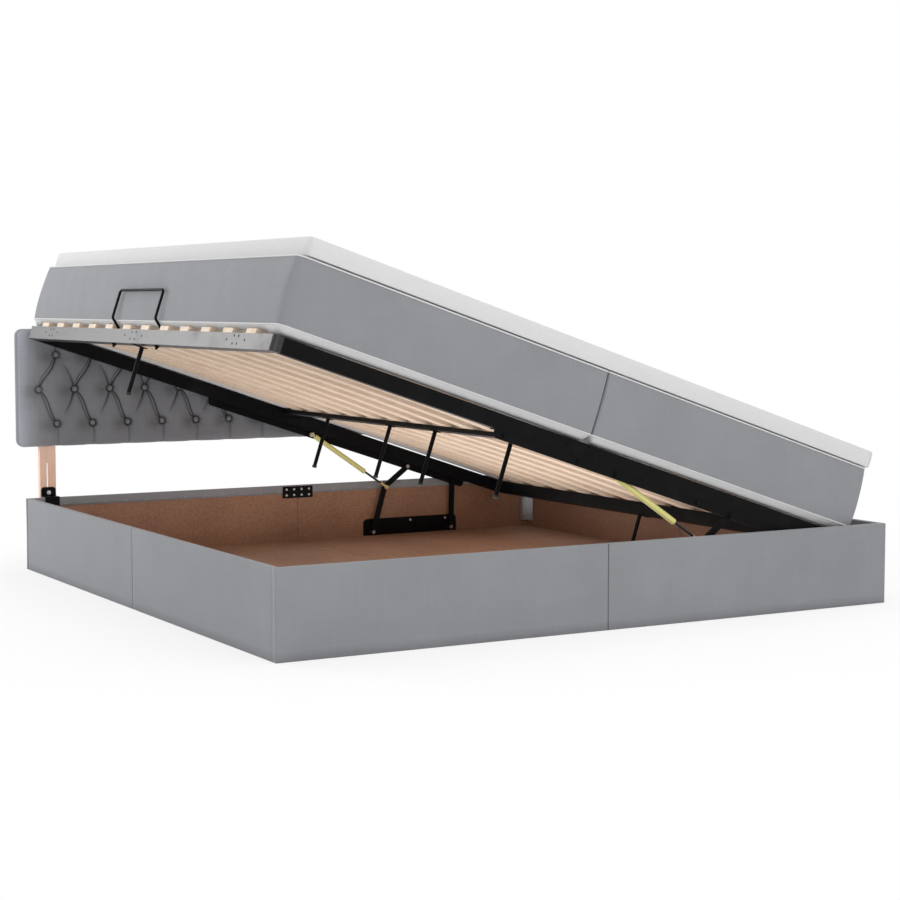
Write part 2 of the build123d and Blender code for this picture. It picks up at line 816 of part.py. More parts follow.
def tuft_cells():
    """Outlines of the pad's pillows, in X and Z from the pad's centre."""
    half_w = headboard_width / 2
    half_h = headboard_height / 2
    p = button_pitch
    low, mid, top = button_rows()
    edge = (button_columns - 1) / 2
    cells = []
    for i in range(button_columns):
        x = (i - edge) * p
        cells.append([(x - p / 2, mid), (x, low), (x + p / 2, mid), (x, top)])
    for i in range(button_columns - 1):
        x = (i - edge) * p
        for row, rim in ((low, -half_h), (top, half_h)):
            cells.append([(x, rim), (x, row), (x + p / 2, mid), (x + p, row), (x + p, rim)])
    for s in (-1, 1):
        x = s * edge * p
        out = s * half_w
        cell = [(out, -half_h), (x, -half_h), (x, low), (x + s * p / 2, mid), (x, top), (x, half_h), (out, half_h)]
        cells.append(cell)
    return cells


def button_rows():
    """Heights of the three button rows from the pad's centre."""
    middle = -button_row_drop
    return (middle - button_row_pitch, middle, middle + button_row_pitch)


def button_places():
    edge = (button_columns - 1) / 2
    low, mid, top = button_rows()
    places = []
    for i in range(button_columns):
        x = (i - edge) * button_pitch
        places.append((x, low))
        places.append((x, top))
    for i in range(button_columns + 1):
        places.append(((i - button_columns / 2) * button_pitch, mid))
    return places


def pillow(cell):
    """One raised pillow with a sloping shoulder, on Z = 0."""
    face = make_face(Polyline(*cell, close=True))
    rise = pad_crown - pad_base
    foot = offset(face, amount=-groove_half, kind=Kind.INTERSECTION)
    shoulder = offset(face, amount=-pillow_shoulder, kind=Kind.INTERSECTION)
    top = offset(face, amount=-pillow_top, kind=Kind.INTERSECTION)
    return loft([foot, Pos(0, 0, rise * 0.6) * shoulder, Pos(0, 0, rise) * top], ruled=True)


def headboard_place():
    """Takes a shape drawn on Z = 0, facing +Z, to the front of the core, facing the foot end."""
    middle = headboard_lift + headboard_height / 2
    return Pos(0, post_front, middle) * Rot(90, 0, 0)


def build_headboard():
    place = headboard_place()
    slab = extrude(RectangleRounded(headboard_width, headboard_height, pad_corner), amount=pad_base)
    pillows = [Pos(0, 0, pad_base) * pillow(cell) for cell in tuft_cells()]
    outline = extrude(RectangleRounded(headboard_width, headboard_height, pad_corner), amount=2 * pad_crown)
    recesses = []
    for x, z in button_places():
        well = Pos(x, z, pad_base) * extrude(RegularPolygon(button_recess_radius, 12), amount=pad_crown)
        recesses.append(well)
    field = pillows[0].fuse(*pillows[1:])
    field = field.cut(*recesses) & outline
    save("headboard_pad", place * (slab + field))
    buttons = []
    for x, z in button_places():
        button = extrude(RegularPolygon(button_radius, 12), amount=button_height, taper=20)
        buttons.append(place * Pos(x, z, pad_base) * button)
    save("headboard_buttons", *buttons)
    build_headboard_core()


def build_headboard_core():
    half = headboard_width / 2
    core_top = headboard_lift + headboard_height
    plan = extrude(RectangleRounded(headboard_width, headboard_height, pad_corner), amount=core_thick)
    core = headboard_place() * Pos(0, 0, -core_thick) * plan
    posts = []
    for side in (-1, 1):
        x = side * post_x
        notch = post_width / 2
        core -= block(x - notch, x + notch, post_front - core_thick, post_front + 2 * core_thick, 0, post_reach)
        posts.append(headboard_post(x))
    save("headboard_core", core)
    save("headboard_posts", *posts)
    back = extrude(RectangleRounded(headboard_width, headboard_height, pad_corner), amount=back_panel)
    save("headboard_back", headboard_place() * Pos(0, 0, -core_thick - back_panel) * back)


def headboard_post(x):
    """A flat wooden leg, slotted so that the headboard can be set higher or lower."""
    half = post_width / 2
    post = block(x - half, x + half, post_front, post_front + post_thick, post_foot, post_reach)
    middle = clamp_height + headboard_travel / 2
    slot = Pos(x, middle) * Rot(0, 0, 90) * SlotCenterToCenter(headboard_travel, slot_width)
    return post - upright(slot, post_front - post_thick, post_front + 2 * post_thick)


def headboard_bracket(x):
    """A cranked plate: down inside the head wall, over its top edge and up to the leg."""
    half = bracket_width / 2
    inner = wrap_face_y
    tab_face = post_front - seat_gap
    top = base_height + bracket_sheet
    drop = block(x - half, x + half, inner - bracket_sheet, inner, base_height - bracket_drop, top)
    web = block(x - half, x + half, inner - bracket_sheet, tab_face, base_height, top)
    tab = block(x - half, x + half, tab_face - bracket_sheet, tab_face, base_height, top + bracket_rise)
    corners = tab.edges().filter_by(Axis.Y).group_by(Axis.Z)[-1]
    tab = fillet(corners, bracket_corner)
    plate = drop + web + tab
    hole = rod((x, tab_face - 2 * bracket_sheet, clamp_height), (x, tab_face + bracket_sheet, clamp_height), clamp_radius)
    return plate - hole


def clamp_bolt(x):
    """The bolt through bracket and leg, with a hexagon head and a round nut behind."""
    front = post_front - seat_gap - bracket_sheet
    back = post_front + post_thick + seat_gap
    head = front - clamp_radius
    bolt = rod((x, head, clamp_height), (x, back + 3 * clamp_radius, clamp_height), clamp_radius)
    bolt += upright(Pos(x, clamp_height) * RegularPolygon(2 * clamp_radius, 6), head, front)
    bolt += rod((x, back, clamp_height), (x, back + 2 * clamp_radius, clamp_height), 3 * clamp_radius)
    return bolt


def build_brackets():
    save("headboard_brackets", headboard_bracket(-post_x), headboard_bracket(post_x))
    save("headboard_bolts", clamp_bolt(-post_x), clamp_bolt(post_x))


def report_linkage():
    """The pivots that the drawing of the mechanism needs, in X and Z."""
    pivots = {
        "platform": (platform_x, platform_z),
        "main pivot": main_pivot,
        "lever tip": lever_tip,
        "elbow": elbow,
        "rear pivot": rear_pivot,
        "rear link tip": link_tip,
        "strut top": strut_top,
    }
    for name, (x, z) in pivots.items():
        print(f"{name}: x {x:.3f}, z {z:.3f}")
    print(f"strut: reach {strut_reach:.3f}, slope {strut_slope:.3f}")


build_panels()
build_floor()
build_fittings()
build_hinge_plates()
build_links()
build_frame()
build_slats()
build_legs()
build_handle()
build_rails()
build_mattresses()
build_headboard()
build_brackets()
report_linkage()
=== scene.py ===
import json
import math

import bpy
import numpy as np
from mathutils import Matrix, Vector

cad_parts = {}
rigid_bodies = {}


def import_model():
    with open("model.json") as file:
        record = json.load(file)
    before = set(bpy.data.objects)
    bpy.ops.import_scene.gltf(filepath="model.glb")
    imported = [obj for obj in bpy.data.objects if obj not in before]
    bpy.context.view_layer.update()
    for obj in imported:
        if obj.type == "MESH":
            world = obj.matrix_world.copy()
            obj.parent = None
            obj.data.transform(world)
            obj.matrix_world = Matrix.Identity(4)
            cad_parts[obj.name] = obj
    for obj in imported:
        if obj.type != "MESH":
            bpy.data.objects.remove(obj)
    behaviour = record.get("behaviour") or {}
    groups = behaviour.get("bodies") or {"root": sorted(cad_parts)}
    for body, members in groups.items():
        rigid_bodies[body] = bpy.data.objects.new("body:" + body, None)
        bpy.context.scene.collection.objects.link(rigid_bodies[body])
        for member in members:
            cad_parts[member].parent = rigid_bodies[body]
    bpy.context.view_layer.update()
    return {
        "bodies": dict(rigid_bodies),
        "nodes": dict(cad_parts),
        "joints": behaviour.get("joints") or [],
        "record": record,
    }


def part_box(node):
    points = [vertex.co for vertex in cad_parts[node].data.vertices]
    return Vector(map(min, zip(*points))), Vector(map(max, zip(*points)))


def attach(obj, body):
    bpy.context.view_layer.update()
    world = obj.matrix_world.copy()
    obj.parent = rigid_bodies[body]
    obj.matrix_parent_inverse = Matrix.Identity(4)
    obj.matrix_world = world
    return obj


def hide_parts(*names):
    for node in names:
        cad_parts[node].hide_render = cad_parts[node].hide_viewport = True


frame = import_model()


# The studio: a pale floor that runs out to white, a broad soft lamp behind the side
# where the bed opens, and weaker ones in front and above. Nothing here is the bed's.

def put(tree, kind, settings=None, **feeds):
    """Adds a node. A feed is a number, a colour or another node's output; _0 and _1 are places."""
    node = tree.nodes.new(kind)
    for name, value in (settings or {}).items():
        setattr(node, name, value)
    for name, value in feeds.items():
        key = int(name[1:]) if name[0] == "_" else name.replace("_", " ")
        if isinstance(value, bpy.types.NodeSocket):
            tree.links.new(value, node.inputs[key])
        else:
            node.inputs[key].default_value = value
    return node


def math_node(tree, operation, first, second=0.0):
    return put(tree, "ShaderNodeMath", {"operation": operation}, _0=first, _1=second).outputs[0]


def any_ray(tree, *rays):
    """1 for the named kinds of ray, 0 for the rest."""
    path = put(tree, "ShaderNodeLightPath")
    total = path.outputs[rays[0]]
    for ray in rays[1:]:
        total = math_node(tree, "MAXIMUM", total, path.outputs[ray])
    return total


ambient_light = 0.72
world = bpy.data.worlds.new("studio_air")
world.use_nodes = True
bpy.context.scene.world = world
air = world.node_tree
seen = any_ray(air, "Is Camera Ray", "Is Glossy Ray", "Is Transmission Ray")
level = put(air, "ShaderNodeMix", {"data_type": "FLOAT"}, _0=seen, _2=ambient_light, _3=1.0)
background = air.nodes["Background"]
background.inputs["Color"].default_value = (1, 1, 1, 1)
air.links.new(level.outputs[0], background.inputs["Strength"])

floor_half = 14.0
floor_mesh = bpy.data.meshes.new("studio_floor")
floor_corners = [(x * floor_half, y * floor_half, 0) for x, y in ((-1, -1), (1, -1), (1, 1), (-1, 1))]
floor_mesh.from_pydata(floor_corners, [], [(0, 1, 2, 3)])
studio_floor = bpy.data.objects.new("studio_floor", floor_mesh)
bpy.context.collection.objects.link(studio_floor)
floor_paint = bpy.data.materials.new("studio_floor_paint")
floor_paint.use_nodes = True
tree = floor_paint.node_tree
paint = tree.nodes["Principled BSDF"]
paint.inputs["Base Color"].default_value = (0.9, 0.9, 0.9, 1)
paint.inputs["Roughness"].default_value = 0.9
paint.inputs["Specular IOR Level"].default_value = 0.1
lift = put(tree, "ShaderNodeEmission", Color=(1, 1, 1, 1), Strength=1.0)
spot = put(tree, "ShaderNodeTexCoord").outputs["Object"]
far = put(tree, "ShaderNodeVectorMath", {"operation": "LENGTH"}, _0=spot).outputs["Value"]
whiter = {"From_Min": 1.5, "From_Max": 2.9, "To_Min": 0.72}
share = put(tree, "ShaderNodeMapRange", Value=far, **whiter)
fade = math_node(tree, "MULTIPLY", any_ray(tree, "Is Camera Ray", "Is Glossy Ray"), share.outputs[0])
blend = put(tree, "ShaderNodeMixShader", _0=fade, _1=paint.outputs[0], _2=lift.outputs[0])
tree.links.new(blend.outputs[0], tree.nodes["Material Output"].inputs["Surface"])
floor_mesh.materials.append(floor_paint)


def soft_lamp(name, place, aim, size, power):
    """A square soft lamp that faces the aim point."""
    data = bpy.data.lights.new(name, "AREA")
    data.shape = "SQUARE"
    data.size = size
    data.energy = power
    lamp = bpy.data.objects.new(name, data)
    lamp.location = place
    lamp.rotation_euler = (Vector(aim) - Vector(place)).to_track_quat("-Z", "Y").to_euler()
    lamp.visible_camera = False
    bpy.context.collection.objects.link(lamp)


soft_lamp("back_left_lamp", (-3.6, 4.2, 1.9), (-0.6, 0.2, 0.5), size=2.3, power=88)
soft_lamp("front_lamp", (-1.2, -6.2, 3.0), (0, 0, 0.4), size=3.0, power=72)
soft_lamp("top_lamp", (0.5, -0.5, 5.5), (0, 0, 0), size=4.0, power=110)
soft_lamp("bounce_lamp", (0.0, 0.0, 0.06), (0, 0, 1), size=1.5, power=9)

camera_place = (-3.0556, -5.4645, 0.9085)
camera_turn = math.radians(29.797)
camera_dip = math.radians(4.307)
camera_data = bpy.data.cameras.new("photo_camera")
camera_data.sensor_width = 36.0
camera_data.lens = 78.1
camera = bpy.data.objects.new("photo_camera", camera_data)
camera.location = camera_place
camera.rotation_euler = (math.pi / 2 - camera_dip, 0, -camera_turn)
bpy.context.collection.objects.link(camera)
bpy.context.scene.camera = camera
bpy.context.scene.view_settings.view_transform = "Standard"


# The storage floor: planed pine battens lie on the ground and carry boards of the same
# reddish chipboard as the panels. The boards are laid loose between the panels.

def effect(name, **inputs):
    """A shader group that takes a place, and the named numbers and colours."""
    group = bpy.data.node_groups.new(name, "ShaderNodeTree")
    group.interface.new_socket("Place", in_out="INPUT", socket_type="NodeSocketVector")
    for label, value in inputs.items():
        kind = "NodeSocketColor" if isinstance(value, tuple) else "NodeSocketFloat"
        group.interface.new_socket(label, in_out="INPUT", socket_type=kind).default_value = value
    for label, kind in (("Color", "Color"), ("Roughness", "Float"), ("Height", "Float")):
        group.interface.new_socket(label, in_out="OUTPUT", socket_type="NodeSocket" + kind)
    return group, group.nodes.new("NodeGroupInput").outputs


def give(group, colour, rough, height):
    """Sends a pattern's three results out of its group."""
    result = group.nodes.new("NodeGroupOutput")
    for label, value in (("Color", colour), ("Roughness", rough), ("Height", height)):
        group.links.new(value, result.inputs[label])
    return group


def plus(tree, first, second):
    return math_node(tree, "ADD", first, second)


def minus(tree, first, second):
    return math_node(tree, "SUBTRACT", first, second)


def times(tree, first, second):
    return math_node(tree, "MULTIPLY", first, second)


def noise(tree, place, scale, detail, **more):
    """Soft random values around one half."""
    return put(tree, "ShaderNodeTexNoise", Vector=place, Scale=scale, Detail=detail, **more).outputs[0]


def mix_colour(tree, share, first, second):
    return put(tree, "ShaderNodeMix", {"data_type": "RGBA"}, _0=share, _6=first, _7=second).outputs[2]


def toned(tree, colour, tone):
    """A colour made lighter or darker by a factor."""
    node = put(tree, "ShaderNodeVectorMath", {"operation": "SCALE"}, Vector=colour, Scale=tone)
    return node.outputs[0]


def ramp(tree, value, low, high):
    """The value stretched so that low becomes 0 and high becomes 1, and clamped."""
    span = {"From_Min": low, "From_Max": high}
    return put(tree, "ShaderNodeMapRange", {"clamp": True}, Value=value, **span).outputs[0]


def make_grain():
    """Wood grain: long streaks along one axis, chosen by the turn and stretch of the place."""
    tones = {"Light": (0.8, 0.7, 0.5, 1), "Dark": (0.6, 0.5, 0.35, 1)}
    group, given = effect("wood_grain", **tones, Fineness=60.0)
    streaks = noise(group, given["Place"], given["Fineness"], 6.0, Roughness=0.62, Distortion=0.4)
    broad = noise(group, given["Place"], times(group, given["Fineness"], 0.22), 3.0, Distortion=1.2)
    fine = ramp(group, streaks, 0.38, 0.66)
    wide = ramp(group, broad, 0.36, 0.68)
    share = plus(group, times(group, fine, 0.45), times(group, wide, 0.5))
    colour = mix_colour(group, share, given["Light"], given["Dark"])
    return give(group, colour, plus(group, times(group, fine, 0.15), 0.5), fine)


def make_chips():
    """Chipboard under a stained foil: small flakes of mixed tones."""
    tones = {"Light": (0.5, 0.3, 0.2, 1), "Dark": (0.3, 0.17, 0.1, 1)}
    group, given = effect("chipboard_flakes", **tones, Scale=260.0)
    cells = {"Vector": given["Place"], "Scale": given["Scale"]}
    flakes = put(group, "ShaderNodeTexVoronoi", {"feature": "F1"}, **cells)
    tone = put(group, "ShaderNodeSeparateColor", Color=flakes.outputs["Color"]).outputs[0]
    cloud = ramp(group, noise(group, given["Place"], 5.0, 4.0), 0.35, 0.7)
    share = plus(group, times(group, tone, 0.55), times(group, cloud, 0.4))
    colour = mix_colour(group, share, given["Light"], given["Dark"])
    return give(group, colour, plus(group, times(group, tone, 0.2), 0.55), tone)


wood_grain = make_grain()
chipboard_flakes = make_chips()


def new_finish(name, pattern, relief, strength, shader, mapping=None, **feeds):
    """A material from a pattern in the object's own metres, with its shader's fixed values."""
    material = bpy.data.materials.new(name)
    material.use_nodes = True
    tree = material.node_tree
    sockets = tree.nodes["Principled BSDF"].inputs
    for label, value in shader.items():
        sockets[label].default_value = value
    place = put(tree, "ShaderNodeTexCoord").outputs["Object"]
    if mapping:
        place = put(tree, "ShaderNodeMapping", Vector=place, **mapping).outputs[0]
    made = put(tree, "ShaderNodeGroup", {"node_tree": pattern}, Place=place, **feeds).outputs
    tree.links.new(made["Color"], sockets["Base Color"])
    tree.links.new(made["Roughness"], sockets["Roughness"])
    bump = put(tree, "ShaderNodeBump", Strength=strength, Distance=relief, Height=made["Height"])
    tree.links.new(bump.outputs["Normal"], sockets["Normal"])
    return material


def wood_finish(name, light, dark, stretch, fineness=60.0, turn=(0, 0, 0)):
    """Planed wood. The stretch is small along the grain."""
    shader = {"Specular IOR Level": 0.35}
    mapping = {"Rotation": turn, "Scale": stretch}
    feeds = {"Light": light, "Dark": dark, "Fineness": fineness}
    return new_finish(name, wood_grain, 0.0006, 0.5, shader, mapping, **feeds)


def dress(material, *nodes):
    """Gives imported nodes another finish."""
    for node in nodes:
        mesh = frame["nodes"][node].data
        mesh.materials.clear()
        mesh.materials.append(material)


stain = {"Light": (0.36, 0.19, 0.115, 1), "Dark": (0.22, 0.105, 0.06, 1), "Scale": 230.0}
chipboard = new_finish("reddish_chipboard", chipboard_flakes, 0.0004, 0.4, {}, **stain)
pine_light, pine_dark = (0.74, 0.56, 0.38, 1), (0.58, 0.40, 0.25, 1)
batten_pine = wood_finish("batten_pine", pine_light, pine_dark, stretch=(1, 0.06, 1))
dress(chipboard, "floor_boards")
dress(batten_pine, "side_battens", "centre_batten")


# The four panels: boards in matt grey velvet, two halves to a side. The cloth goes over
# the top edge, is turned in at the seams, and is stapled along a hem inside.

panel_length = 2.03
panel_height = 0.243
panel_depth = 0.0187
cover_outside = 0.0025
cover_inside = 0.0012
hem_drop = 0.031
seam_half = 0.0008
lap_gap = 0.0004
corner_round = 0.0028
seam_roll = 0.0028
staple_pitch = 0.072
staple_margin = 0.06
hem_droop = 0.0022


def make_velvet():
    """Short velvet: fine thread bumps, slubs both ways and soft patches of turned pile."""
    group, given = effect("velvet_pile", Pile=(0.3, 0.3, 0.3, 1), Patch=0.1, Thread=0.0014)
    place = given["Place"]
    turns = math_node(group, "DIVIDE", 2 * math.pi, given["Thread"])
    axes = put(group, "ShaderNodeSeparateXYZ", Vector=place).outputs
    waves = [math_node(group, "SINE", times(group, axes[i], turns)) for i in range(3)]
    weave = plus(group, plus(group, waves[0], waves[1]), waves[2])
    fluff = noise(group, place, 1400.0, 2.0)
    across = put(group, "ShaderNodeMapping", Vector=place, Scale=(5, 5, 160)).outputs[0]
    upright = put(group, "ShaderNodeMapping", Vector=place, Scale=(150, 150, 4)).outputs[0]
    slubs_across = minus(group, noise(group, across, 1.0, 3.0), 0.5)
    slubs = plus(group, slubs_across, minus(group, noise(group, upright, 1.0, 3.0), 0.5))
    patch = noise(group, place, 5.5, 5.0, Roughness=0.55)
    tone = plus(group, times(group, slubs, 0.35), minus(group, patch, 0.5))
    tone = plus(group, times(group, tone, given["Patch"]), 1.0)
    tone = plus(group, tone, times(group, minus(group, fluff, 0.5), 0.10))
    lumps = plus(group, fluff, times(group, slubs, 0.6))
    height = plus(group, times(group, weave, 0.15), lumps)
    rough = plus(group, times(group, patch, 0.2), 0.72)
    return give(group, toned(group, given["Pile"], tone), rough, height)


velvet_pile = make_velvet()


def velvet_finish(name, pile, patch=0.22):
    """Matt velvet with a cool sheen."""
    shader = {
        "Specular IOR Level": 0.2,
        "Sheen Weight": 0.25,
        "Sheen Roughness": 0.45,
        "Sheen Tint": (0.8, 0.82, 0.86, 1),
    }
    feeds = {"Pile": pile, "Patch": patch, "Thread": 0.0016}
    return new_finish(name, velvet_pile, 0.0004, 0.5, shader, **feeds)


grey_velvet = velvet_finish("grey_velvet", (0.264, 0.271, 0.287, 1))


def new_piece(name, points, faces, material, body, smooth=True):
    """A mesh piece in the bed's own frame that rides on a body."""
    mesh = bpy.data.meshes.new(name)
    mesh.from_pydata([tuple(p) for p in points], [], faces)
    mesh.materials.append(material)
    if smooth:
        mesh.polygons.foreach_set("use_smooth", [True] * len(mesh.polygons))
    mesh.update()
    piece = bpy.data.objects.new(name, mesh)
    bpy.context.collection.objects.link(piece)
    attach(piece, body)
    return piece


def loop_faces(rows, n, ends=False):
    """Faces that join closed loops of n points each, with a cap at each end if wanted."""
    faces = []
    for i in range(rows - 1):
        for j in range(n):
            k = (j + 1) % n
            faces.append((i * n + j, i * n + k, (i + 1) * n + k, (i + 1) * n + j))
    if ends:
        faces.append(tuple(range(n - 1, -1, -1)))
        faces.append(tuple((rows - 1) * n + j for j in range(n)))
    return faces


def quarter(cx, cz, radius, start, steps=4):
    """Points of a quarter turn, clockwise from the start angle in degrees."""
    turns = [math.radians(start - 90 * i / steps) for i in range(steps + 1)]
    return [(cx + radius * math.cos(t), cz + radius * math.sin(t)) for t in turns]


def cover_outline():
    """The cloth seen from its end: depth into the panel and height, clockwise."""
    foot, top, edge = 0.001, panel_height, 0.003
    rise = [(0.0, foot + (top - edge - foot) * i / 8) for i in range(8)]
    over = quarter(edge, top - edge, edge, 180) + quarter(panel_depth - edge, top - edge, edge, 90)
    hem = [(panel_depth, top - hem_drop * 0.6), (panel_depth, top - hem_drop)]
    within = panel_depth - cover_inside
    back = [(within, top - hem_drop), (within, top - cover_outside)]
    inner = [(cover_outside, top - cover_outside), (cover_outside, foot)]
    return rise + over + hem + back + inner


def cover_path(end, laps):
    """Places along a half, from the seam on: point, inward direction and greatest depth."""
    stations = [seam_half + s for s in (0, 0.0004, 0.001, 0.0018, 0.003)]
    stop = end - corner_round if laps else end
    count = 44
    first = stations[-1]
    stations += [first + (stop - seam_roll - first) * (i + 1) / count for i in range(count)]
    stations += [stop - seam_roll * share for share in (0.6, 0.3, 0.12, 0.0)]
    path = [((x, 0.0), (0.0, 1.0), 1.0) for x in stations]
    if laps:
        centre = (end - corner_round, corner_round)
        for i in range(7):
            turn = math.pi / 2 * i / 6
            out = (math.sin(turn), -math.cos(turn))
            spot = (centre[0] + corner_round * out[0], centre[1] + corner_round * out[1])
            path.append((spot, (-out[0], -out[1]), corner_round))
        path.append(((end, panel_depth), (-1.0, 0.0), corner_round))
    return path


def cover_half(end, laps, seed):
    """The points and faces of one half cover, with the seam at x = 0."""
    phases = np.random.default_rng(seed).uniform(0, 2 * math.pi, 6)
    outline = cover_outline()
    loops = []
    for (x, y), (nx, ny), deepest in cover_path(end, laps):
        turned_in = max(0.0, seam_roll - (x - seam_half), 0.0 if laps else seam_roll - (end - x))
        tuck = seam_roll - math.sqrt(max(0.0, seam_roll**2 - turned_in**2))
        slack = 0.0005 * math.sin(9 * x + phases[0]) + 0.0003 * math.sin(23 * x + phases[1])
        loop = []
        for depth, z in outline:
            low = z < panel_height - hem_drop * 0.9
            wave = slack * math.sin(math.pi * z / panel_height) if depth == 0.0 else 0.0
            d = min(depth, deepest) + (tuck if depth < panel_depth / 2 else -tuck) - min(0.0, wave)
            if depth > panel_depth / 2 and low:
                droop = 0.6 + 0.4 * math.sin(5 * x + phases[2])
                z += hem_droop * abs(math.sin(math.pi * x / staple_pitch)) * droop
            loop.append((x + nx * d, y + ny * d, z))
        loops.append(loop)
    return [p for loop in loops for p in loop], loop_faces(len(loops), len(outline), ends=True)


def both_halves(end, laps, seed):
    """A half and its mirror image, in one list of points and faces."""
    points, faces = cover_half(end, laps, seed)
    other_points, other_faces = cover_half(end, laps, seed + 1)
    start = len(points)
    points = points + [(-x, y, z) for x, y, z in other_points]
    faces = faces + [tuple(start + i for i in reversed(face)) for face in other_faces]
    return points, faces


def staple_row(length, pitch, height):
    """Flat wire staples in a row along X, standing off the XZ plane towards -Y."""
    wide, wire, most_slant = 0.011, 0.0011, 0.0015
    square = ((-1, -1), (1, -1), (1, 1), (-1, 1))
    corners = [(dx, 0, dz) for dx, dz in square] + [(0.9 * dx, 1, 0.7 * dz) for dx, dz in square]
    wire_faces = ((0, 1, 5, 4), (1, 2, 6, 5), (2, 3, 7, 6), (3, 0, 4, 7), (4, 5, 6, 7), (3, 2, 1, 0))
    points, faces = [], []
    count = int(length / pitch)
    for i in range(count + 1):
        x = -length / 2 + length * i / count
        slant = most_slant * math.sin(i * 2.4)
        start = len(points)
        for dx, dy, dz in corners:
            points.append((x + dx * wide / 2, -dy * wire, height + dz * wire / 2 + dx * slant))
        faces += [tuple(start + k for k in face) for face in wire_faces]
    return points, faces


def moved(points, matrix):
    return [tuple(matrix @ Vector(p)) for p in points]


def make_metal_coat():
    """Fine orange-peel texture, with a second tone in cloudy rubbed patches."""
    coats = {"Coat": (0.02, 0.02, 0.02, 1), "Worn": (0.06, 0.06, 0.06, 1)}
    group, given = effect("metal_coat", **coats, Rough=0.35, Flecks=900.0)
    fine = noise(group, given["Place"], given["Flecks"], 2.0)
    rubbed = ramp(group, noise(group, given["Place"], 9.0, 6.0, Roughness=0.65), 0.52, 0.74)
    colour = mix_colour(group, rubbed, given["Coat"], given["Worn"])
    spread = plus(group, times(group, fine, 0.12), times(group, rubbed, 0.1))
    return give(group, colour, plus(group, spread, given["Rough"]), fine)


metal_coat = make_metal_coat()


def make_metal(name, colour, worn, rough, metallic, flecks=900.0, glint=0.5):
    """Coated or bare metal, or plastic, with fine texture and rubbed patches."""
    feeds = {"Coat": colour, "Worn": worn, "Rough": rough, "Flecks": flecks}
    shader = {"Metallic": metallic, "Specular IOR Level": glint}
    return new_finish(name, metal_coat, 0.0002, 0.35, shader, **feeds)


wire, worn_wire = (0.5, 0.5, 0.5, 1), (0.35, 0.34, 0.32, 1)
staple_wire = make_metal("staple_wire", wire, worn_wire, rough=0.3, metallic=1.0)

sides = {
    "foot": (0, (0, -1), True),
    "right": (90, (1, 0), False),
    "head": (180, (0, 1), True),
    "left": (-90, (-1, 0), False),
}
for number, (side, (turn, (ox, oy), laps)) in enumerate(sides.items()):
    half = panel_length / 2
    spin = Matrix.Rotation(math.radians(turn), 4, "Z")
    to_side = Matrix.Translation((ox * half, oy * half, 0)) @ spin
    end = half if laps else half - panel_depth - lap_gap
    points, faces = both_halves(end, laps, 10 + number)
    cover = new_piece(f"{side}_cover", moved(points, to_side), faces, grey_velvet, "base")
    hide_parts(f"{side}_panel_covers")
    inner_face = Matrix.Translation((0, panel_depth, 0)) @ Matrix.Rotation(math.pi, 4, "Z")
    staple_height = panel_height - hem_drop * 0.72
    points, faces = staple_row(2 * half - 2 * staple_margin, staple_pitch, staple_height)
    points = moved(points, to_side @ inner_face)
    staples = new_piece(f"{side}_staples", points, faces, staple_wire, "base", smooth=False)
    dress(chipboard, f"{side}_panel_boards")


# Steel fittings of the base: plates behind the mid seams, angles in the corners, and the
# two hinge plates, all screwed to the boards with round-headed wood screws.

screw_radius = 0.0048
plate_sheet = 0.0025
board_inner = 0.9975
plate_screws_across = (-0.045, -0.015, 0.015, 0.045)
plate_screws_up = (0.2075, 0.2285)
angle_screws_up = (0.083, 0.152)
angle_screws_in = 0.02
hinge_sheet = 0.003
hinge_screws_along = (0.12, 0.5, 0.88)
hinge_screws_drop = 0.0124
deep_black, worn_black = (0.007, 0.007, 0.0075, 1), (0.012, 0.012, 0.0125, 1)
coat = {"metallic": 0.0, "flecks": 1100.0}
black_coat = make_metal("black_powder_coat", deep_black, worn_black, rough=0.32, glint=0.04, **coat)
zinc, worn_zinc = (0.55, 0.56, 0.57, 1), (0.42, 0.42, 0.40, 1)
zinc_plate = make_metal("zinc_plate", zinc, worn_zinc, rough=0.28, metallic=1.0, flecks=500.0)


def lathe(profile, segments=20):
    """A closed turned piece from (radius, height) points, rising along Z."""
    turns = [2 * math.pi * j / segments for j in range(segments)]
    points = [(radius * math.cos(t), radius * math.sin(t), z) for radius, z in profile for t in turns]
    return points, loop_faces(len(profile), segments, ends=True)


def screw_head(radius):
    """A round head with a sunk drive."""
    profile = [(1, 0), (0.97, 0.2), (0.75, 0.425), (0.42, 0.5), (0.36, 0.225), (0.2, 0.175)]
    return lathe([(radius * out, radius * up) for out, up in profile], 16)


def facing(place, direction):
    """A matrix that stands a turned piece at the place, rising along the direction."""
    turn = Vector(direction).to_track_quat("Z", "Y").to_matrix().to_4x4()
    return Matrix.Translation(place) @ turn


def gather(shapes):
    """Several (points, faces) in one."""
    points, faces = [], []
    for shape_points, shape_faces in shapes:
        start = len(points)
        points += shape_points
        faces += [tuple(start + i for i in face) for face in shape_faces]
    return points, faces


def screws(name, places, radius):
    """One piece of zinc screw heads on the base, at (place, direction) pairs."""
    head_points, head_faces = screw_head(radius)
    shapes = [(moved(head_points, facing(*place)), head_faces) for place in places]
    points, faces = gather(shapes)
    new_piece(name, points, faces, zinc_plate, "base")


quarter_turns = [Matrix.Rotation(math.radians(turn), 3, "Z") for turn in (0, 90, 180, 270)]
plate_face = panel_length / 2 - panel_depth - plate_sheet
plate_places = []
for spin in quarter_turns:
    for x in plate_screws_across:
        for z in plate_screws_up:
            plate_places.append((spin @ Vector((x, -plate_face, z)), spin @ Vector((0, 1, 0))))
screws("joint_plate_screws", plate_places, screw_radius)

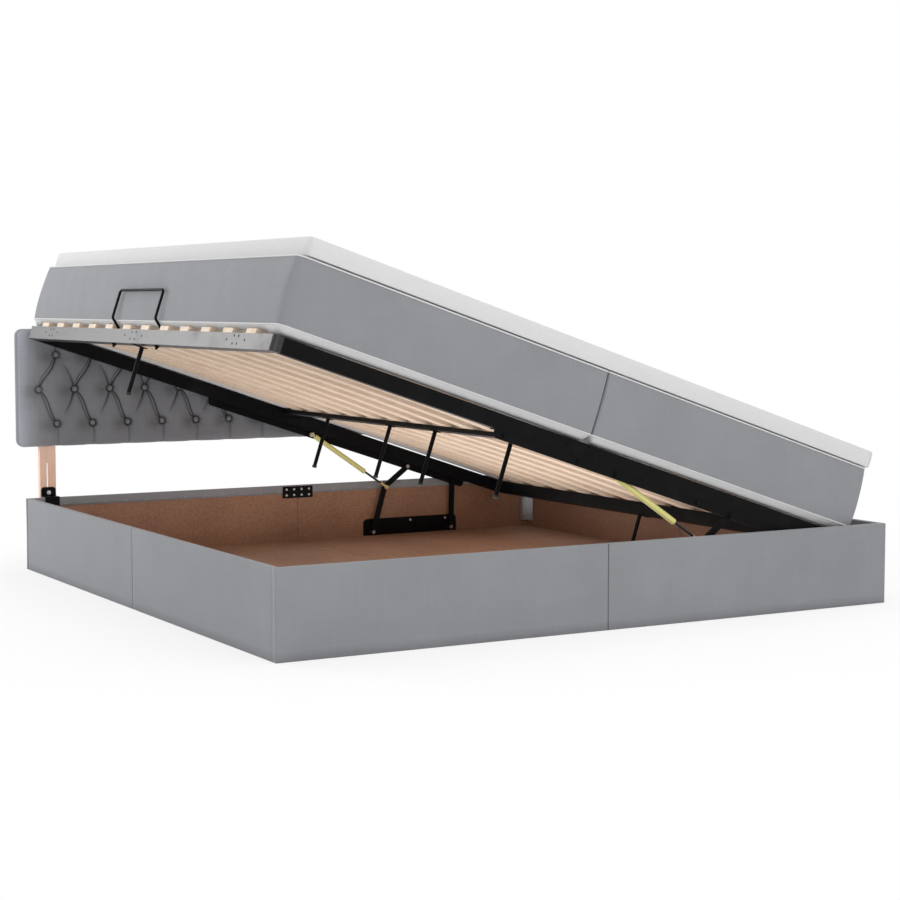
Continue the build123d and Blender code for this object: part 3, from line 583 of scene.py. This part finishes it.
near, wall = board_inner - angle_screws_in, board_inner - plate_sheet
angle_places = []
for spin in quarter_turns:
    for z in angle_screws_up:
        angle_places.append((spin @ Vector((-near, -wall, z)), spin @ Vector((0, 1, 0))))
        angle_places.append((spin @ Vector((-wall, -near, z)), spin @ Vector((1, 0, 0))))
screws("corner_screws", angle_places, screw_radius)
dress(zinc_plate, "corner_angles")
dress(black_coat, "joint_plates")

for end, side in (("foot", -1), ("head", 1)):
    lo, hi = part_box(f"hinge_plate_{end}")
    places = []
    for share in hinge_screws_along:
        x = lo[0] + (hi[0] - lo[0]) * share
        place = (x, side * (board_inner - hinge_sheet), hi[2] - hinge_screws_drop)
        places.append((place, (0, -side, 0)))
    screws(f"hinge_plate_{end}_screws", places, screw_radius * 1.1)
    dress(black_coat, f"hinge_plate_{end}")
dress(zinc_plate, "hinge_pins")


# The headboard's legs: planed pine, slotted and clamped to cranked steel brackets, so
# that the headboard can be set higher or lower. Its core is bare chipboard.

leg_light, leg_dark = (0.95, 0.69, 0.555, 1), (0.8, 0.53, 0.4, 1)
leg_pine = wood_finish("leg_pine", leg_light, leg_dark, stretch=(1, 1, 0.05), fineness=75.0)
dress(leg_pine, "headboard_posts")
dress(black_coat, "headboard_brackets")
dress(zinc_plate, "headboard_bolts")
dress(chipboard, "headboard_core")


# The headboard's front: velvet over foam, drawn in by three rows of covered buttons.
# Folds run from button to button in diamonds, and straight pleats run out to the rim.

pad_width = 2.056
pad_height = 0.4
pad_middle = 0.618
pad_front = 1.04
pad_back = 1.068
pad_crown = 0.026
pad_corner = 0.022
rim_round = 0.03
end_round = 0.06
grid_step = 0.0026
button_pitch = 0.128
row_pitch = 0.119
row_middle = -0.005
well_depth = 0.0175
crease_depth = 0.0055
crease_width = 0.0026
notch_depth = 0.0045
notch_reach = 0.03
side_rings = (
    (-0.001, 0.001), (0.006, 0.0018), (0.014, 0.0022), (0.022, 0.002),
    (0.0275, 0.0014), (0.029, -0.004), (0.0292, -0.014),
)


def rounded_grid(width, height, corner, step, right_corner=None):
    """A grid over a rounded rectangle: two arrays of places and the distance to the rim."""
    nx = int(round(width / step)) + 1
    ny = int(round(height / step)) + 1
    xs, ys = np.linspace(-width / 2, width / 2, nx), np.linspace(-height / 2, height / 2, ny)
    x, y = np.meshgrid(xs, ys)
    corner = np.where(x > 0, right_corner or corner, corner)
    cx, cy = width / 2 - corner, height / 2 - corner
    dx, dy = np.abs(x) - cx, np.abs(y) - cy
    reach = np.hypot(np.maximum(dx, 0), np.maximum(dy, 0))
    outside = (dx > 0) & (dy > 0) & (reach > corner)
    scale = np.where(outside, corner / np.maximum(reach, 1e-9), 1.0)
    x = np.where(outside, np.sign(x) * (cx + dx * scale), x)
    y = np.where(outside, np.sign(y) * (cy + dy * scale), y)
    dx, dy = np.abs(x) - cx, np.abs(y) - cy
    inner = np.hypot(np.maximum(dx, 0), np.maximum(dy, 0))
    straight = np.minimum(width / 2 - np.abs(x), height / 2 - np.abs(y))
    rim = np.where((dx <= 0) | (dy <= 0), straight, corner - inner)
    return x, y, np.maximum(rim, 0.0)


def grid_faces(ny, nx):
    """The faces of a grid whose vertices are numbered row by row."""
    firsts = [j * nx + i for j in range(ny - 1) for i in range(nx - 1)]
    return [(k, k + 1, k + nx + 1, k + nx) for k in firsts]


def rim_loop(ny, nx):
    """Indices of the grid's outer vertices, anticlockwise from its first corner."""
    loop = list(range(nx))
    loop += [j * nx + nx - 1 for j in range(1, ny)]
    loop += [(ny - 1) * nx + i for i in range(nx - 2, -1, -1)]
    loop += [j * nx for j in range(ny - 2, 0, -1)]
    return loop


def join_loops(before, after):
    """Faces between two closed loops of vertex numbers that run the same way."""
    n = len(before)
    return [(before[i], after[i], after[(i + 1) % n], before[(i + 1) % n]) for i in range(n)]


def tuft_plan():
    """Buttons, pleats with a button at both ends, tucks that run out, and pleats to the rim."""
    low, mid, top = row_middle - row_pitch, row_middle, row_middle + row_pitch
    half = button_pitch / 2
    buttons = [(k * button_pitch, z) for k in range(-7, 8) for z in (low, top)]
    buttons += [((k - 0.5) * button_pitch, mid) for k in range(-7, 9)]
    pleats, tucks, runs = [], [], []
    for k in range(-7, 8):
        x = k * button_pitch
        pleats += [((x, top), (x - half, mid)), ((x - half, mid), (x, low))]
        tucks += [((x + half, mid), (x, top), 1), ((x + half, mid), (x, low), -1)]
        runs += [((x, top), (x, pad_height / 2)), ((x, low), (x, -pad_height / 2))]
    return buttons, pleats, tucks, runs


def line_places(x, z, start, end):
    """Share along a line, distance to its left, and distance past its ends."""
    length = math.dist(start, end)
    ux, uz = (end[0] - start[0]) / length, (end[1] - start[1]) / length
    along = ((x - start[0]) * ux + (z - start[1]) * uz) / length
    inside = np.clip(along, 0, 1)
    side = (z - start[1]) * ux - (x - start[0]) * uz
    return inside, side, np.abs(along - inside) * length


def bell(distance, width, power=2):
    """1 at no distance, fading to 0 over about the width."""
    return np.exp(-((distance / width) ** power))


def tuft_depth(x, z):
    """How far the cloth is drawn in at each place, and the painted shade (above 0) or painted highlight
    (below 0) in its colour there.
    """
    buttons, pleats, tucks, runs = tuft_plan()
    soft = np.zeros_like(x)
    sharp = np.zeros_like(x)
    # Painted highlight along the ridges beside the folds; it changes only the colour.
    painted_ridge_highlight = np.zeros_like(x)
    for start, end in pleats:
        inside, side, beyond = line_places(x, z, start, end)
        side = side - 0.004 * np.sin(2 * np.pi * inside)
        middle = np.sin(np.pi * inside)
        away = np.hypot(side, beyond)
        valley = bell(away, np.where(side > 0, 0.027, 0.02), 1.25)
        soft = np.maximum(soft, (0.95 - 0.33 * middle) * valley)
        gap = 0.0008 + 0.0042 * middle
        crease = bell(np.hypot(side - gap, beyond), crease_width, 1.4)
        other = 0.7 * bell(np.hypot(side + gap, beyond), crease_width, 1.4)
        sharp = np.maximum(sharp, np.maximum(crease, other))
        painted_ridge_highlight = np.maximum(painted_ridge_highlight, np.sqrt(middle) * bell(away, 0.0024))
        painted_ridge_highlight = np.maximum(painted_ridge_highlight, 0.6 * middle * bell(np.hypot(side - gap - 0.007, beyond), 0.0035))
    for start, end, up in tucks:
        inside, side, beyond = line_places(x, z, start, end)
        side = side + up * 0.008 * np.sin(np.pi * inside)
        away = np.hypot(side, beyond)
        left = np.clip(1 - inside / 0.7, 0, 1) ** 0.5
        soft = np.maximum(soft, (0.3 + 0.45 * left) * bell(away, 0.02, 1.25))
        sharp = np.maximum(sharp, 0.85 * left * bell(away, crease_width, 1.4))
        painted_ridge_highlight = np.maximum(painted_ridge_highlight, 0.6 * left * bell(np.hypot(side - up * 0.006, beyond), 0.003))
    for start, end in runs:
        inside, side, beyond = line_places(x, z, start, end)
        away = np.hypot(side, beyond)
        soft = np.maximum(soft, (0.75 - 0.2 * inside) * bell(away, 0.02, 1.25))
        near = (1 - 0.6 * inside) * (beyond < 0.001)
        sharp = np.maximum(sharp, 0.32 * near * bell(side - 0.003, 0.0028))
        painted_ridge_highlight = np.maximum(painted_ridge_highlight, 0.6 * near * bell(side + 0.004, 0.003))
    total = well_depth * soft + crease_depth * sharp
    # Painted shade in the valleys and creases, less a painted highlight on the ridges.
    pressed = 0.55 * soft**1.8 + 1.05 * sharp - 1.1 * painted_ridge_highlight - 0.07
    for bx, bz in buttons:
        near = (np.abs(x - bx) < 0.07) & (np.abs(z - bz) < 0.07)
        dx, dz = x[near] - bx, z[near] - bz
        r = np.hypot(dx, dz)
        well = well_depth * bell(r, 0.0185, 2.2)
        pull = 0.001 * np.cos(9 * np.arctan2(dz, dx) + 3 * bx / button_pitch) * bell(r - 0.02, 0.011)
        total[near] = np.maximum(total[near], well) + pull
        # Painted shade: a dark ring round each button.
        pressed[near] = np.maximum(pressed[near], 1.05 * bell(r, 0.016, 4))
        # A hollow left of each button: real depth, and painted shade in its colour.
        hollow = np.exp(-(((dx + 0.03) / 0.03) ** 2) - (((dz + 0.004) / 0.024) ** 2))
        total[near] = total[near] + 0.006 * hollow * (1 - bell(r, 0.02, 4))
        pressed[near] = pressed[near] + 0.36 * hollow
    return total, pressed


def stuffed_headboard():
    """The front cloth as one grid, with its sides carried back over the core's edge."""
    x, z, rim = rounded_grid(pad_width, pad_height, pad_corner, grid_step)
    depth, pressed = tuft_depth(x, z)
    puff = pad_crown + 0.0015 * np.sin(3 * x + 1) * np.sin(9 * z)
    near_rim = np.clip(rim / rim_round, 0, 1)
    near_end = np.clip((pad_width / 2 - np.abs(x)) / end_round, 0, 1)
    height = (puff - depth) * np.sqrt(1 - (1 - near_rim) ** 2) * (1 - 0.45 * (1 - near_end) ** 2)
    height = height + 0.002 * (1 - near_rim)
    # Painted highlight: the colour is lighter towards both ends, and more so at the left end.
    pressed = pressed - 0.5 * (1 - near_end) ** 1.5 - 0.35 * np.clip(-(x + 0.86) / 0.15, 0, 1)
    from_column = np.abs((x / button_pitch + 0.5) % 1.0 - 0.5) * button_pitch
    past = np.abs(z) - (pad_height / 2 - notch_reach)
    notch = notch_depth * np.exp(-from_column / 0.011) * np.clip(past / notch_reach, 0, 1)
    z = z - np.sign(z) * np.where((past > 0) & (np.abs(x) < 7.3 * button_pitch), notch, 0.0)
    points = np.stack([x, pad_front - height, z + pad_middle], axis=-1).reshape(-1, 3)
    faces = grid_faces(*x.shape)
    previous = rim_loop(*x.shape)
    rim_points = points[previous]
    points = list(points)
    directions = []
    for px, _, pz in rim_points:
        corner_x = np.sign(px) * (pad_width / 2 - pad_corner)
        corner_z = np.sign(pz - pad_middle) * (pad_height / 2 - pad_corner)
        gap_x = px - corner_x if abs(px) > abs(corner_x) else 0.0
        gap_z = pz - pad_middle - corner_z if abs(pz - pad_middle) > abs(corner_z) else 0.0
        size = math.hypot(gap_x, gap_z) or 1.0
        directions.append((gap_x / size, gap_z / size))
    for back, out in side_rings:
        ring = list(range(len(points), len(points) + len(rim_points)))
        for (px, _, pz), (ox, oz) in zip(rim_points, directions):
            points.append(np.array([px + ox * out, pad_front + back, pz + oz * out]))
        faces += join_loops(previous, ring)
        previous = ring
    return points, faces, np.concatenate([pressed.reshape(-1), np.zeros(len(points) - x.size)])


def shade_folds(material, tone):
    """Paints shade into a finish in the folds, wells and hollows, and paints highlight on the ridges
    and ends.
    """
    tree = material.node_tree
    base_colour = tree.nodes["Principled BSDF"].inputs["Base Color"]
    colour = base_colour.links[0].from_socket
    pressed = put(tree, "ShaderNodeAttribute", {"attribute_name": "pressed"}).outputs["Fac"]
    shade = minus(tree, 1.0, times(tree, pressed, tone))
    tree.links.new(toned(tree, colour, shade), base_colour)


# The headboard's pile is the panels' velvet painted darker: painted shade from the platform over it.
shaded_headboard_pile = (0.205, 0.218, 0.24, 1)
headboard_velvet = velvet_finish("headboard_velvet", shaded_headboard_pile, patch=0.4)
tufted_velvet = velvet_finish("tufted_velvet", shaded_headboard_pile, patch=0.4)
shade_folds(tufted_velvet, 0.9)
points, faces, pressed = stuffed_headboard()
headboard_front = new_piece("tufted_headboard", points, faces, tufted_velvet, "headboard")
# The painted fold shade and highlight are stored on the points for the finish.
headboard_front.data.attributes.new("pressed", "FLOAT", "POINT").data.foreach_set("value", pressed)
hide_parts("headboard_pad")

button_profile = [(0.0085, 0), (0.0098, 0.0012), (0.0097, 0.003), (0.0082, 0.0052)]
button_profile += [(0.005, 0.0066), (0.0018, 0.0071)]
button_foot = pad_front - (pad_crown - well_depth) + 0.001
cap_points, cap_faces = lathe(button_profile, 18)
shapes = []
for bx, bz in tuft_plan()[0]:
    place = facing((bx, button_foot, bz + pad_middle), (0, -1, 0))
    shapes.append((moved(cap_points, place), cap_faces))
points, faces = gather(shapes)
button_caps = new_piece("covered_buttons", points, faces, headboard_velvet, "headboard")
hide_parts("headboard_buttons")


# The headboard's back: dark pressed fleece stretched over the board, and a little
# short of its edge. It is matt, with small random fibres and dimples.

back_margin = 0.006
fleece = {"Pile": (0.05, 0.05, 0.052, 1), "Patch": 0.12, "Thread": 0.003}
matt = {"Specular IOR Level": 0.1}
back_fleece = new_finish("back_fleece", velvet_pile, 0.0005, 0.4, matt, **fleece)
x, z, rim = rounded_grid(pad_width - 2 * back_margin, pad_height - 2 * back_margin, pad_corner, 0.03)
sag = 0.0005 * (1 + np.sin(5 * x + 1) * np.sin(14 * z)) * np.clip(rim / 0.03, 0, 1)
points = np.stack([x, pad_back + 0.0012 + sag, z + pad_middle], axis=-1).reshape(-1, 3)
faces = [tuple(reversed(face)) for face in grid_faces(*x.shape)]
back_cloth = new_piece("headboard_back_cloth", points, faces, back_fleece, "headboard")
thickness = back_cloth.modifiers.new("cloth", "SOLIDIFY")
thickness.thickness = 0.001
thickness.offset = -1
dress(chipboard, "headboard_back")


# The platform's frame: black box tubes, the centre beam, its brackets, and the rails.
# Everything on it is drawn level and then tipped with the platform.

tilt = math.radians(18.25)
lo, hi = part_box("centre_beam")
beam_half_height = 0.007
beam_centre = Vector(((lo[0] + hi[0]) / 2, 0, (lo[2] + hi[2]) / 2))
tipped = Matrix.Rotation(tilt, 4, "Y")
platform_place = Matrix.Translation(beam_centre + tipped @ Vector((0, 0, beam_half_height))) @ tipped
# The left tube wears a lighter, glossier copy of the black coat: a painted highlight for the light
# falling on that side. The paint is the same all round.
lit_coat_black, lit_coat_worn = (0.012, 0.012, 0.013, 1), (0.02, 0.02, 0.021, 1)
lit_tube_coat = make_metal("bright_powder_coat", lit_coat_black, lit_coat_worn, rough=0.3, glint=0.5, **coat)
dress(lit_tube_coat, "frame_tube_left")
dress(
    black_coat, "frame_tube_right", "frame_tube_foot", "frame_tube_head", "centre_beam",
    "beam_brackets", "rail_foot", "rail_head", "rail_nuts", "rail_bolts", "support_legs", "lift_handle",
    "handle_nuts",
)
dress(zinc_plate, "rail_pins")

# Dark rings on the tubes round the bolt holes: painted shade for the holes' dark insides.
hole_shade_black, hole_shade_mottle = (0.006, 0.006, 0.006, 1), (0.01, 0.01, 0.01, 1)
hole_rim = make_metal("hole_rim", hole_shade_black, hole_shade_mottle, rough=0.8, metallic=0.0, glint=0.02)
tube_face = 0.985
tube_drop = 0.043
hole_spread = 0.0576
hole_pattern = ((0.25, 0.2), (-0.25, 0.2), (1, 0.45), (-1, 0.45), (0.25, 0.7), (-0.25, 0.7))
# Each group of holes: the tube, the place along it, and how far the pattern is spread.
hole_groups = (("left", -0.75, 1), ("left", 0.0, 1.2), ("foot", 0.0, 1), ("left", 0.75, 1))
hole_shade_profile = [(0.0034, 0), (0.0034, 0.00015), (0.001, 0.00015), (0.001, 0.0)]
rim_points, hole_shade_faces = lathe(hole_shade_profile, 14)
hole_shade_rings = []
for tube, reach, widening in hole_groups:
    for along, share in hole_pattern:
        across, drop = reach + along * (hole_spread * widening), -share * tube_drop
        if tube == "left":
            spot = facing((-tube_face, across, drop), (-1, 0, 0))
        else:
            spot = facing((across, -tube_face, drop), (0, -1, 0))
        hole_shade_rings.append((moved(rim_points, platform_place @ spot), hole_shade_faces))
points, faces = gather(hole_shade_rings)
tube_hole_shade_piece = new_piece("tube_hole_rims", points, faces, hole_rim, "platform", smooth=False)


# Sprung slats: two rows of bowed birch plywood, with the grain along each slat, cut
# square at both ends.

birch_light, birch_dark = (0.80, 0.66, 0.52, 1), (0.68, 0.52, 0.38, 1)
along_slat = {"stretch": (0.05, 1, 1), "turn": (0, -tilt, 0)}
slat_birch = wood_finish("slat_birch", birch_light, birch_dark, fineness=70.0, **along_slat)
dress(slat_birch, "slats_left", "slats_right")


# The lift mechanism: cranked levers and rear links of flat bar, gas struts in yellow
# green paint with black rods and turned brass ends. The feet are black plastic.

lime, worn_lime = (0.68, 0.64, 0.22, 1), (0.72, 0.69, 0.34, 1)
strut_paint = make_metal("strut_paint", lime, worn_lime, rough=0.25, metallic=0.0, flecks=700.0)
rod, worn_rod = (0.01, 0.01, 0.01, 1), (0.03, 0.03, 0.03, 1)
rod_black = make_metal("black_rod", rod, worn_rod, rough=0.12, metallic=0.4)
brass, worn_brass = (0.62, 0.46, 0.2, 1), (0.45, 0.31, 0.13, 1)
turned_brass = make_metal("turned_brass", brass, worn_brass, rough=0.25, metallic=1.0)
plastic, worn_plastic = (0.012, 0.012, 0.012, 1), (0.03, 0.03, 0.03, 1)
foot_plastic = make_metal("foot_plastic", plastic, worn_plastic, rough=0.5, metallic=0.0)
for end in ("foot", "head"):
    dress(black_coat, f"lever_{end}", f"rear_link_{end}")
    dress(strut_paint, f"strut_cylinder_{end}")
    dress(rod_black, f"strut_rod_{end}")
    dress(turned_brass, f"rod_end_{end}")
dress(foot_plastic, "support_feet")


# The two mattresses: velvet borders that swell a little, white knitted cloth above and
# below, and white piping along both edges of the border.

mattress_width = 0.995
mattress_length = 1.988
mattress_corner = 0.025
mattress_gap = 0.002
mattress_shift = 0.01
seam_corner = 0.007
border_rows = 16
border_foot = 0.026
border_top = 0.2086
border_bulge = 0.005
border_inset = 0.0012
piping_radius = 0.0021
underside_foot = 0.0133
slat_bow = 0.008
quilt_pitch = 0.11


def make_knit():
    """White knitted cloth: rows of tiny loops and soft dimples."""
    group, given = effect("white_knit", Yarn=(0.85, 0.85, 0.85, 1), Dimple=0.5)
    place = given["Place"]
    stitch = {"Vector": place, "Scale": 420.0, "Smoothness": 0.6}
    loops = put(group, "ShaderNodeTexVoronoi", {"feature": "SMOOTH_F1"}, **stitch).outputs["Distance"]
    cloud = noise(group, place, 14.0, 4.0)
    fibre = noise(group, place, 900.0, 2.0)
    tone = plus(group, times(group, minus(group, loops, 0.4), -0.12), 1.0)
    tone = plus(group, tone, times(group, minus(group, cloud, 0.5), 0.05))
    lumps = times(group, cloud, given["Dimple"])
    height = plus(group, plus(group, times(group, loops, -0.8), fibre), lumps)
    rough = plus(group, times(group, fibre, 0.15), 0.78)
    return give(group, toned(group, given["Yarn"], tone), rough, height)


yarn = (0.69, 0.69, 0.692, 1)
soft = {"Specular IOR Level": 0.15, "Sheen Weight": 0.15}
white_cloth = new_finish("white_knitted_cloth", make_knit(), 0.0005, 0.5, soft, Yarn=yarn)


def outline_ring(width, length, corners, inset, step=0.02, arc=8):
    """A rounded rectangle as points and outward directions, anticlockwise. Corners: left, right."""
    hx, hy = width / 2, length / 2
    ring = []
    for sx, sy, start in ((1, -1, -90), (1, 1, 0), (-1, 1, 90), (-1, -1, 180)):
        corner = corners[1] if sx > 0 else corners[0]
        cx, cy = sx * (hx - corner), sy * (hy - corner)
        for i in range(arc + 1):
            turn = math.radians(start + 90 * i / arc)
            out = (math.cos(turn), math.sin(turn))
            ring.append(((cx + corner * out[0], cy + corner * out[1]), out))
    dense = []
    for i, (spot, out) in enumerate(ring):
        after, out_after = ring[(i + 1) % len(ring)]
        gap = math.dist(spot, after)
        pieces = max(1, int(gap / step))
        for k in range(pieces):
            s = k / pieces
            place = (spot[0] + (after[0] - spot[0]) * s, spot[1] + (after[1] - spot[1]) * s)
            way = (out[0] + (out_after[0] - out[0]) * s, out[1] + (out_after[1] - out[1]) * s)
            size = math.hypot(*way) or 1.0
            way = (way[0] / size, way[1] / size)
            dense.append(((place[0] - way[0] * inset, place[1] - way[1] * inset), way))
    return dense


def tube_along(ring, height, radius, sides=8):
    """A closed cord round a ring at one height."""
    points, faces = [], []
    n = len(ring)
    for (x, y), (ox, oy) in ring:
        for j in range(sides):
            turn = 2 * math.pi * j / sides
            cos, sin = math.cos(turn), math.sin(turn)
            points.append((x + ox * radius * cos, y + oy * radius * cos, height + radius * sin))
    for i in range(n):
        here, after = i * sides, (i + 1) % n * sides
        for j in range(sides):
            m = (j + 1) % sides
            faces.append((here + j, after + j, after + m, here + m))
    return points, faces


def border_cloth(centre, side, corners):
    """The upright border: a band with a slight swell, flat where the two mattresses meet."""
    points = []
    ring = outline_ring(mattress_width, mattress_length, corners, 0.0, 0.016)
    for i in range(border_rows + 1):
        s = i / border_rows
        w = border_foot + (border_top - border_foot) * s
        from_middle = 2 * s - 1
        for (x, y), (ox, oy) in ring:
            along = x * -oy + y * ox
            ripple = 0.0007 * math.sin(along * 21 + 2 * s) * math.sin(math.pi * s)
            ripple += 0.0004 * math.sin(along * 57 + 5 * s)
            swell = border_bulge * (1 - from_middle**2) ** 0.8 + ripple * (1 - abs(from_middle) ** 4)
            out = swell * (1 - max(0.0, -ox * side) * 0.92) - border_inset
            points.append((centre + x + ox * out, y + oy * out, w))
    return points, loop_faces(border_rows + 1, len(ring))


def face_cloth(width, length, corners, step, heights, flip=False):
    """A grid over a rounded rectangle whose height is a function of place and rim distance."""
    x, y, rim = rounded_grid(width, length, corners[0], step, corners[1])
    points = np.stack([x, y, heights(x, y, rim)], axis=-1).reshape(-1, 3)
    faces = grid_faces(*x.shape)
    if flip:
        faces = [tuple(reversed(face)) for face in faces]
    return [tuple(p) for p in points], faces


def mattress_top(x, y, rim):
    """The upper cloth: it rises from the piping, and is faintly quilted."""
    rise = 0.0066 * (1 - bell(rim, 0.06, 2.0))
    quilt = 0.0006 * np.cos(2 * np.pi * x / quilt_pitch) * np.cos(2 * np.pi * y / quilt_pitch)
    return border_top + rise + quilt * np.clip(rim / 0.03, 0, 1)


def mattress_foot(x, y, rim):
    """The underside: it lies on the bowed slats, and sags beyond the last ones."""
    edge = (border_foot - underside_foot) * np.clip(1 - rim / 0.02, 0, 1) ** 1.8
    bow = slat_bow * np.clip(1 - (x / (mattress_width / 2)) ** 2, 0, 1)
    bow = bow * np.clip((rim - 0.012) / 0.06, 0, 1)
    sag = 0.0108 * bell(np.abs(y) - 0.945, 0.036, 6)
    return underside_foot + edge + bow * 0.98 - sag * np.clip(rim / 0.014, 0, 1)


def fill_out(piece, held, pressure, cap, spare, frames=12):
    """A short cloth simulation that fills a cover out between its held points, then is applied."""
    piece.vertex_groups.new(name="held").add(held, 1.0, "REPLACE")
    cloth = piece.modifiers.new("fill", "CLOTH")
    cloth.settings.quality = 4
    cloth.settings.effector_weights.gravity = 0
    cloth.settings.vertex_group_mass = "held"
    cloth.settings.use_pressure = True
    cloth.settings.uniform_pressure_force = pressure
    cloth.settings.shrink_min = -spare
    cloth.point_cache.frame_end = frames
    for frame in range(1, frames + 1):
        bpy.context.scene.frame_set(frame)
    filled = piece.evaluated_get(bpy.context.evaluated_depsgraph_get()).to_mesh()
    before = np.empty(len(piece.data.vertices) * 3)
    after = np.empty_like(before)
    piece.data.vertices.foreach_get("co", before)
    filled.vertices.foreach_get("co", after)
    move = (after - before).reshape(-1, 3)
    far = np.linalg.norm(move, axis=1, keepdims=True)
    move = move * np.minimum(1.0, cap / np.maximum(far, 1e-9))
    piece.modifiers.remove(cloth)
    piece.vertex_groups.clear()
    piece.data.vertices.foreach_set("co", before + move.reshape(-1))
    piece.data.update()
    bpy.context.scene.frame_set(1)


for name, side in (("mattress_left", -1), ("mattress_right", 1)):
    centre = mattress_shift + side * (mattress_width + mattress_gap) / 2
    corners = (mattress_corner, seam_corner) if side < 0 else (seam_corner, mattress_corner)
    points, faces = border_cloth(centre, side, corners)
    border = new_piece(f"{name}_border", moved(points, platform_place), faces, grey_velvet, "platform")
    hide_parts(name)
    around = len(points) // (border_rows + 1)
    flat_side = -mattress_width / 2 + 0.03
    held = {i for i, point in enumerate(points) if side * (point[0] - centre) < flat_side}
    held.update(range(around), range(border_rows * around, len(points)))
    fill_out(border, sorted(held), pressure=1.5, cap=0.001, spare=0.0006)
    shift = platform_place @ Matrix.Translation((centre, 0, 0))
    face_size = (mattress_width - 2 * border_inset, mattress_length - 2 * border_inset, corners, 0.0135)
    points, faces = face_cloth(*face_size, mattress_top)
    top = new_piece(f"{name}_top", moved(points, shift), faces, white_cloth, "platform")
    points, faces = face_cloth(*face_size, mattress_foot, flip=True)
    foot = new_piece(f"{name}_base", moved(points, shift), faces, white_cloth, "platform")
    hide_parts(f"{name}_underside")
    ring = outline_ring(mattress_width, mattress_length, corners, border_inset - 0.0004, 0.02)
    cords = gather([tube_along(ring, height, piping_radius) for height in (border_top, border_foot)])
    piping = new_piece(f"{name}_piping", moved(cords[0], shift), cords[1], white_cloth, "platform")


# The topper: a white knitted cover on a foam sheet, soft at the edges, slipped a little
# down the slope. Its faces lie flat, and its sides fill out a little.

topper_width = 1.982
topper_length = 1.986
topper_corner = 0.016
topper_edge = 0.004
topper_foot = 0.2166
topper_thick = 0.05
topper_shift = 0.023


def topper_shape(step=0.018):
    """The cover as one closed skin: upper face, rolled side and lower face."""
    inset, corner = 2 * topper_edge, topper_corner - topper_edge
    x, y, rim = rounded_grid(topper_width - inset, topper_length - inset, corner, step)
    wave = 0.0009 * np.sin(7 * x + 1) * np.sin(6 * y + 2) + 0.0005 * np.sin(19 * x + 3 * y)
    upper = topper_foot + topper_thick - 0.001 + wave * np.clip(rim / 0.05, 0, 1)
    lower = topper_foot - 0.0016 * np.exp(-rim / 0.012)
    points = [tuple(p) for w in (upper, lower) for p in np.stack([x, y, w], axis=-1).reshape(-1, 3)]
    start = x.size
    faces = grid_faces(*x.shape)
    faces += [tuple(start + i for i in reversed(face)) for face in faces]
    loop = rim_loop(*x.shape)
    cx, cy = topper_width / 2 - topper_corner, topper_length / 2 - topper_corner
    turns = (0.4, 0.8, 1.2, math.pi / 2)
    rolled = [(topper_edge * math.sin(t), topper_edge * (1 - math.cos(t))) for t in turns]
    side = topper_thick - 2 * topper_edge
    swell = [
        (topper_edge + 0.0015 * math.sin(math.pi * s), topper_edge + side * s)
        for s in (0.25, 0.5, 0.75)
    ]
    under = [(out, topper_thick - drop) for out, drop in reversed(rolled)]
    previous = loop
    for out, drop in rolled + swell + under:
        ring = list(range(len(points), len(points) + len(loop)))
        for index in loop:
            px, py, pz = points[index]
            qz = points[start + index][2]
            gx = px - math.copysign(cx, px) if abs(px) > cx else 0.0
            gy = py - math.copysign(cy, py) if abs(py) > cy else 0.0
            size = math.hypot(gx, gy) or 1.0
            fall = (qz - pz) * drop / topper_thick
            points.append((px + gx / size * out, py + gy / size * out, pz + fall))
        faces += join_loops(previous, ring)
        previous = ring
    return points, faces + join_loops(previous, [start + index for index in loop])


points, faces = topper_shape()
topper_place = platform_place @ Matrix.Translation((topper_shift, 0, 0))
topper = new_piece("topper_cover", moved(points, topper_place), faces, white_cloth, "platform")
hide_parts("topper")
flat_from = topper_thick / 2 - topper_edge
heights = [point[2] - topper_foot - topper_thick / 2 for point in points]
held = [i for i, height in enumerate(heights) if abs(height) > flat_from]
fill_out(topper, held, pressure=1.5, cap=0.0012, spare=0.0015, frames=6)
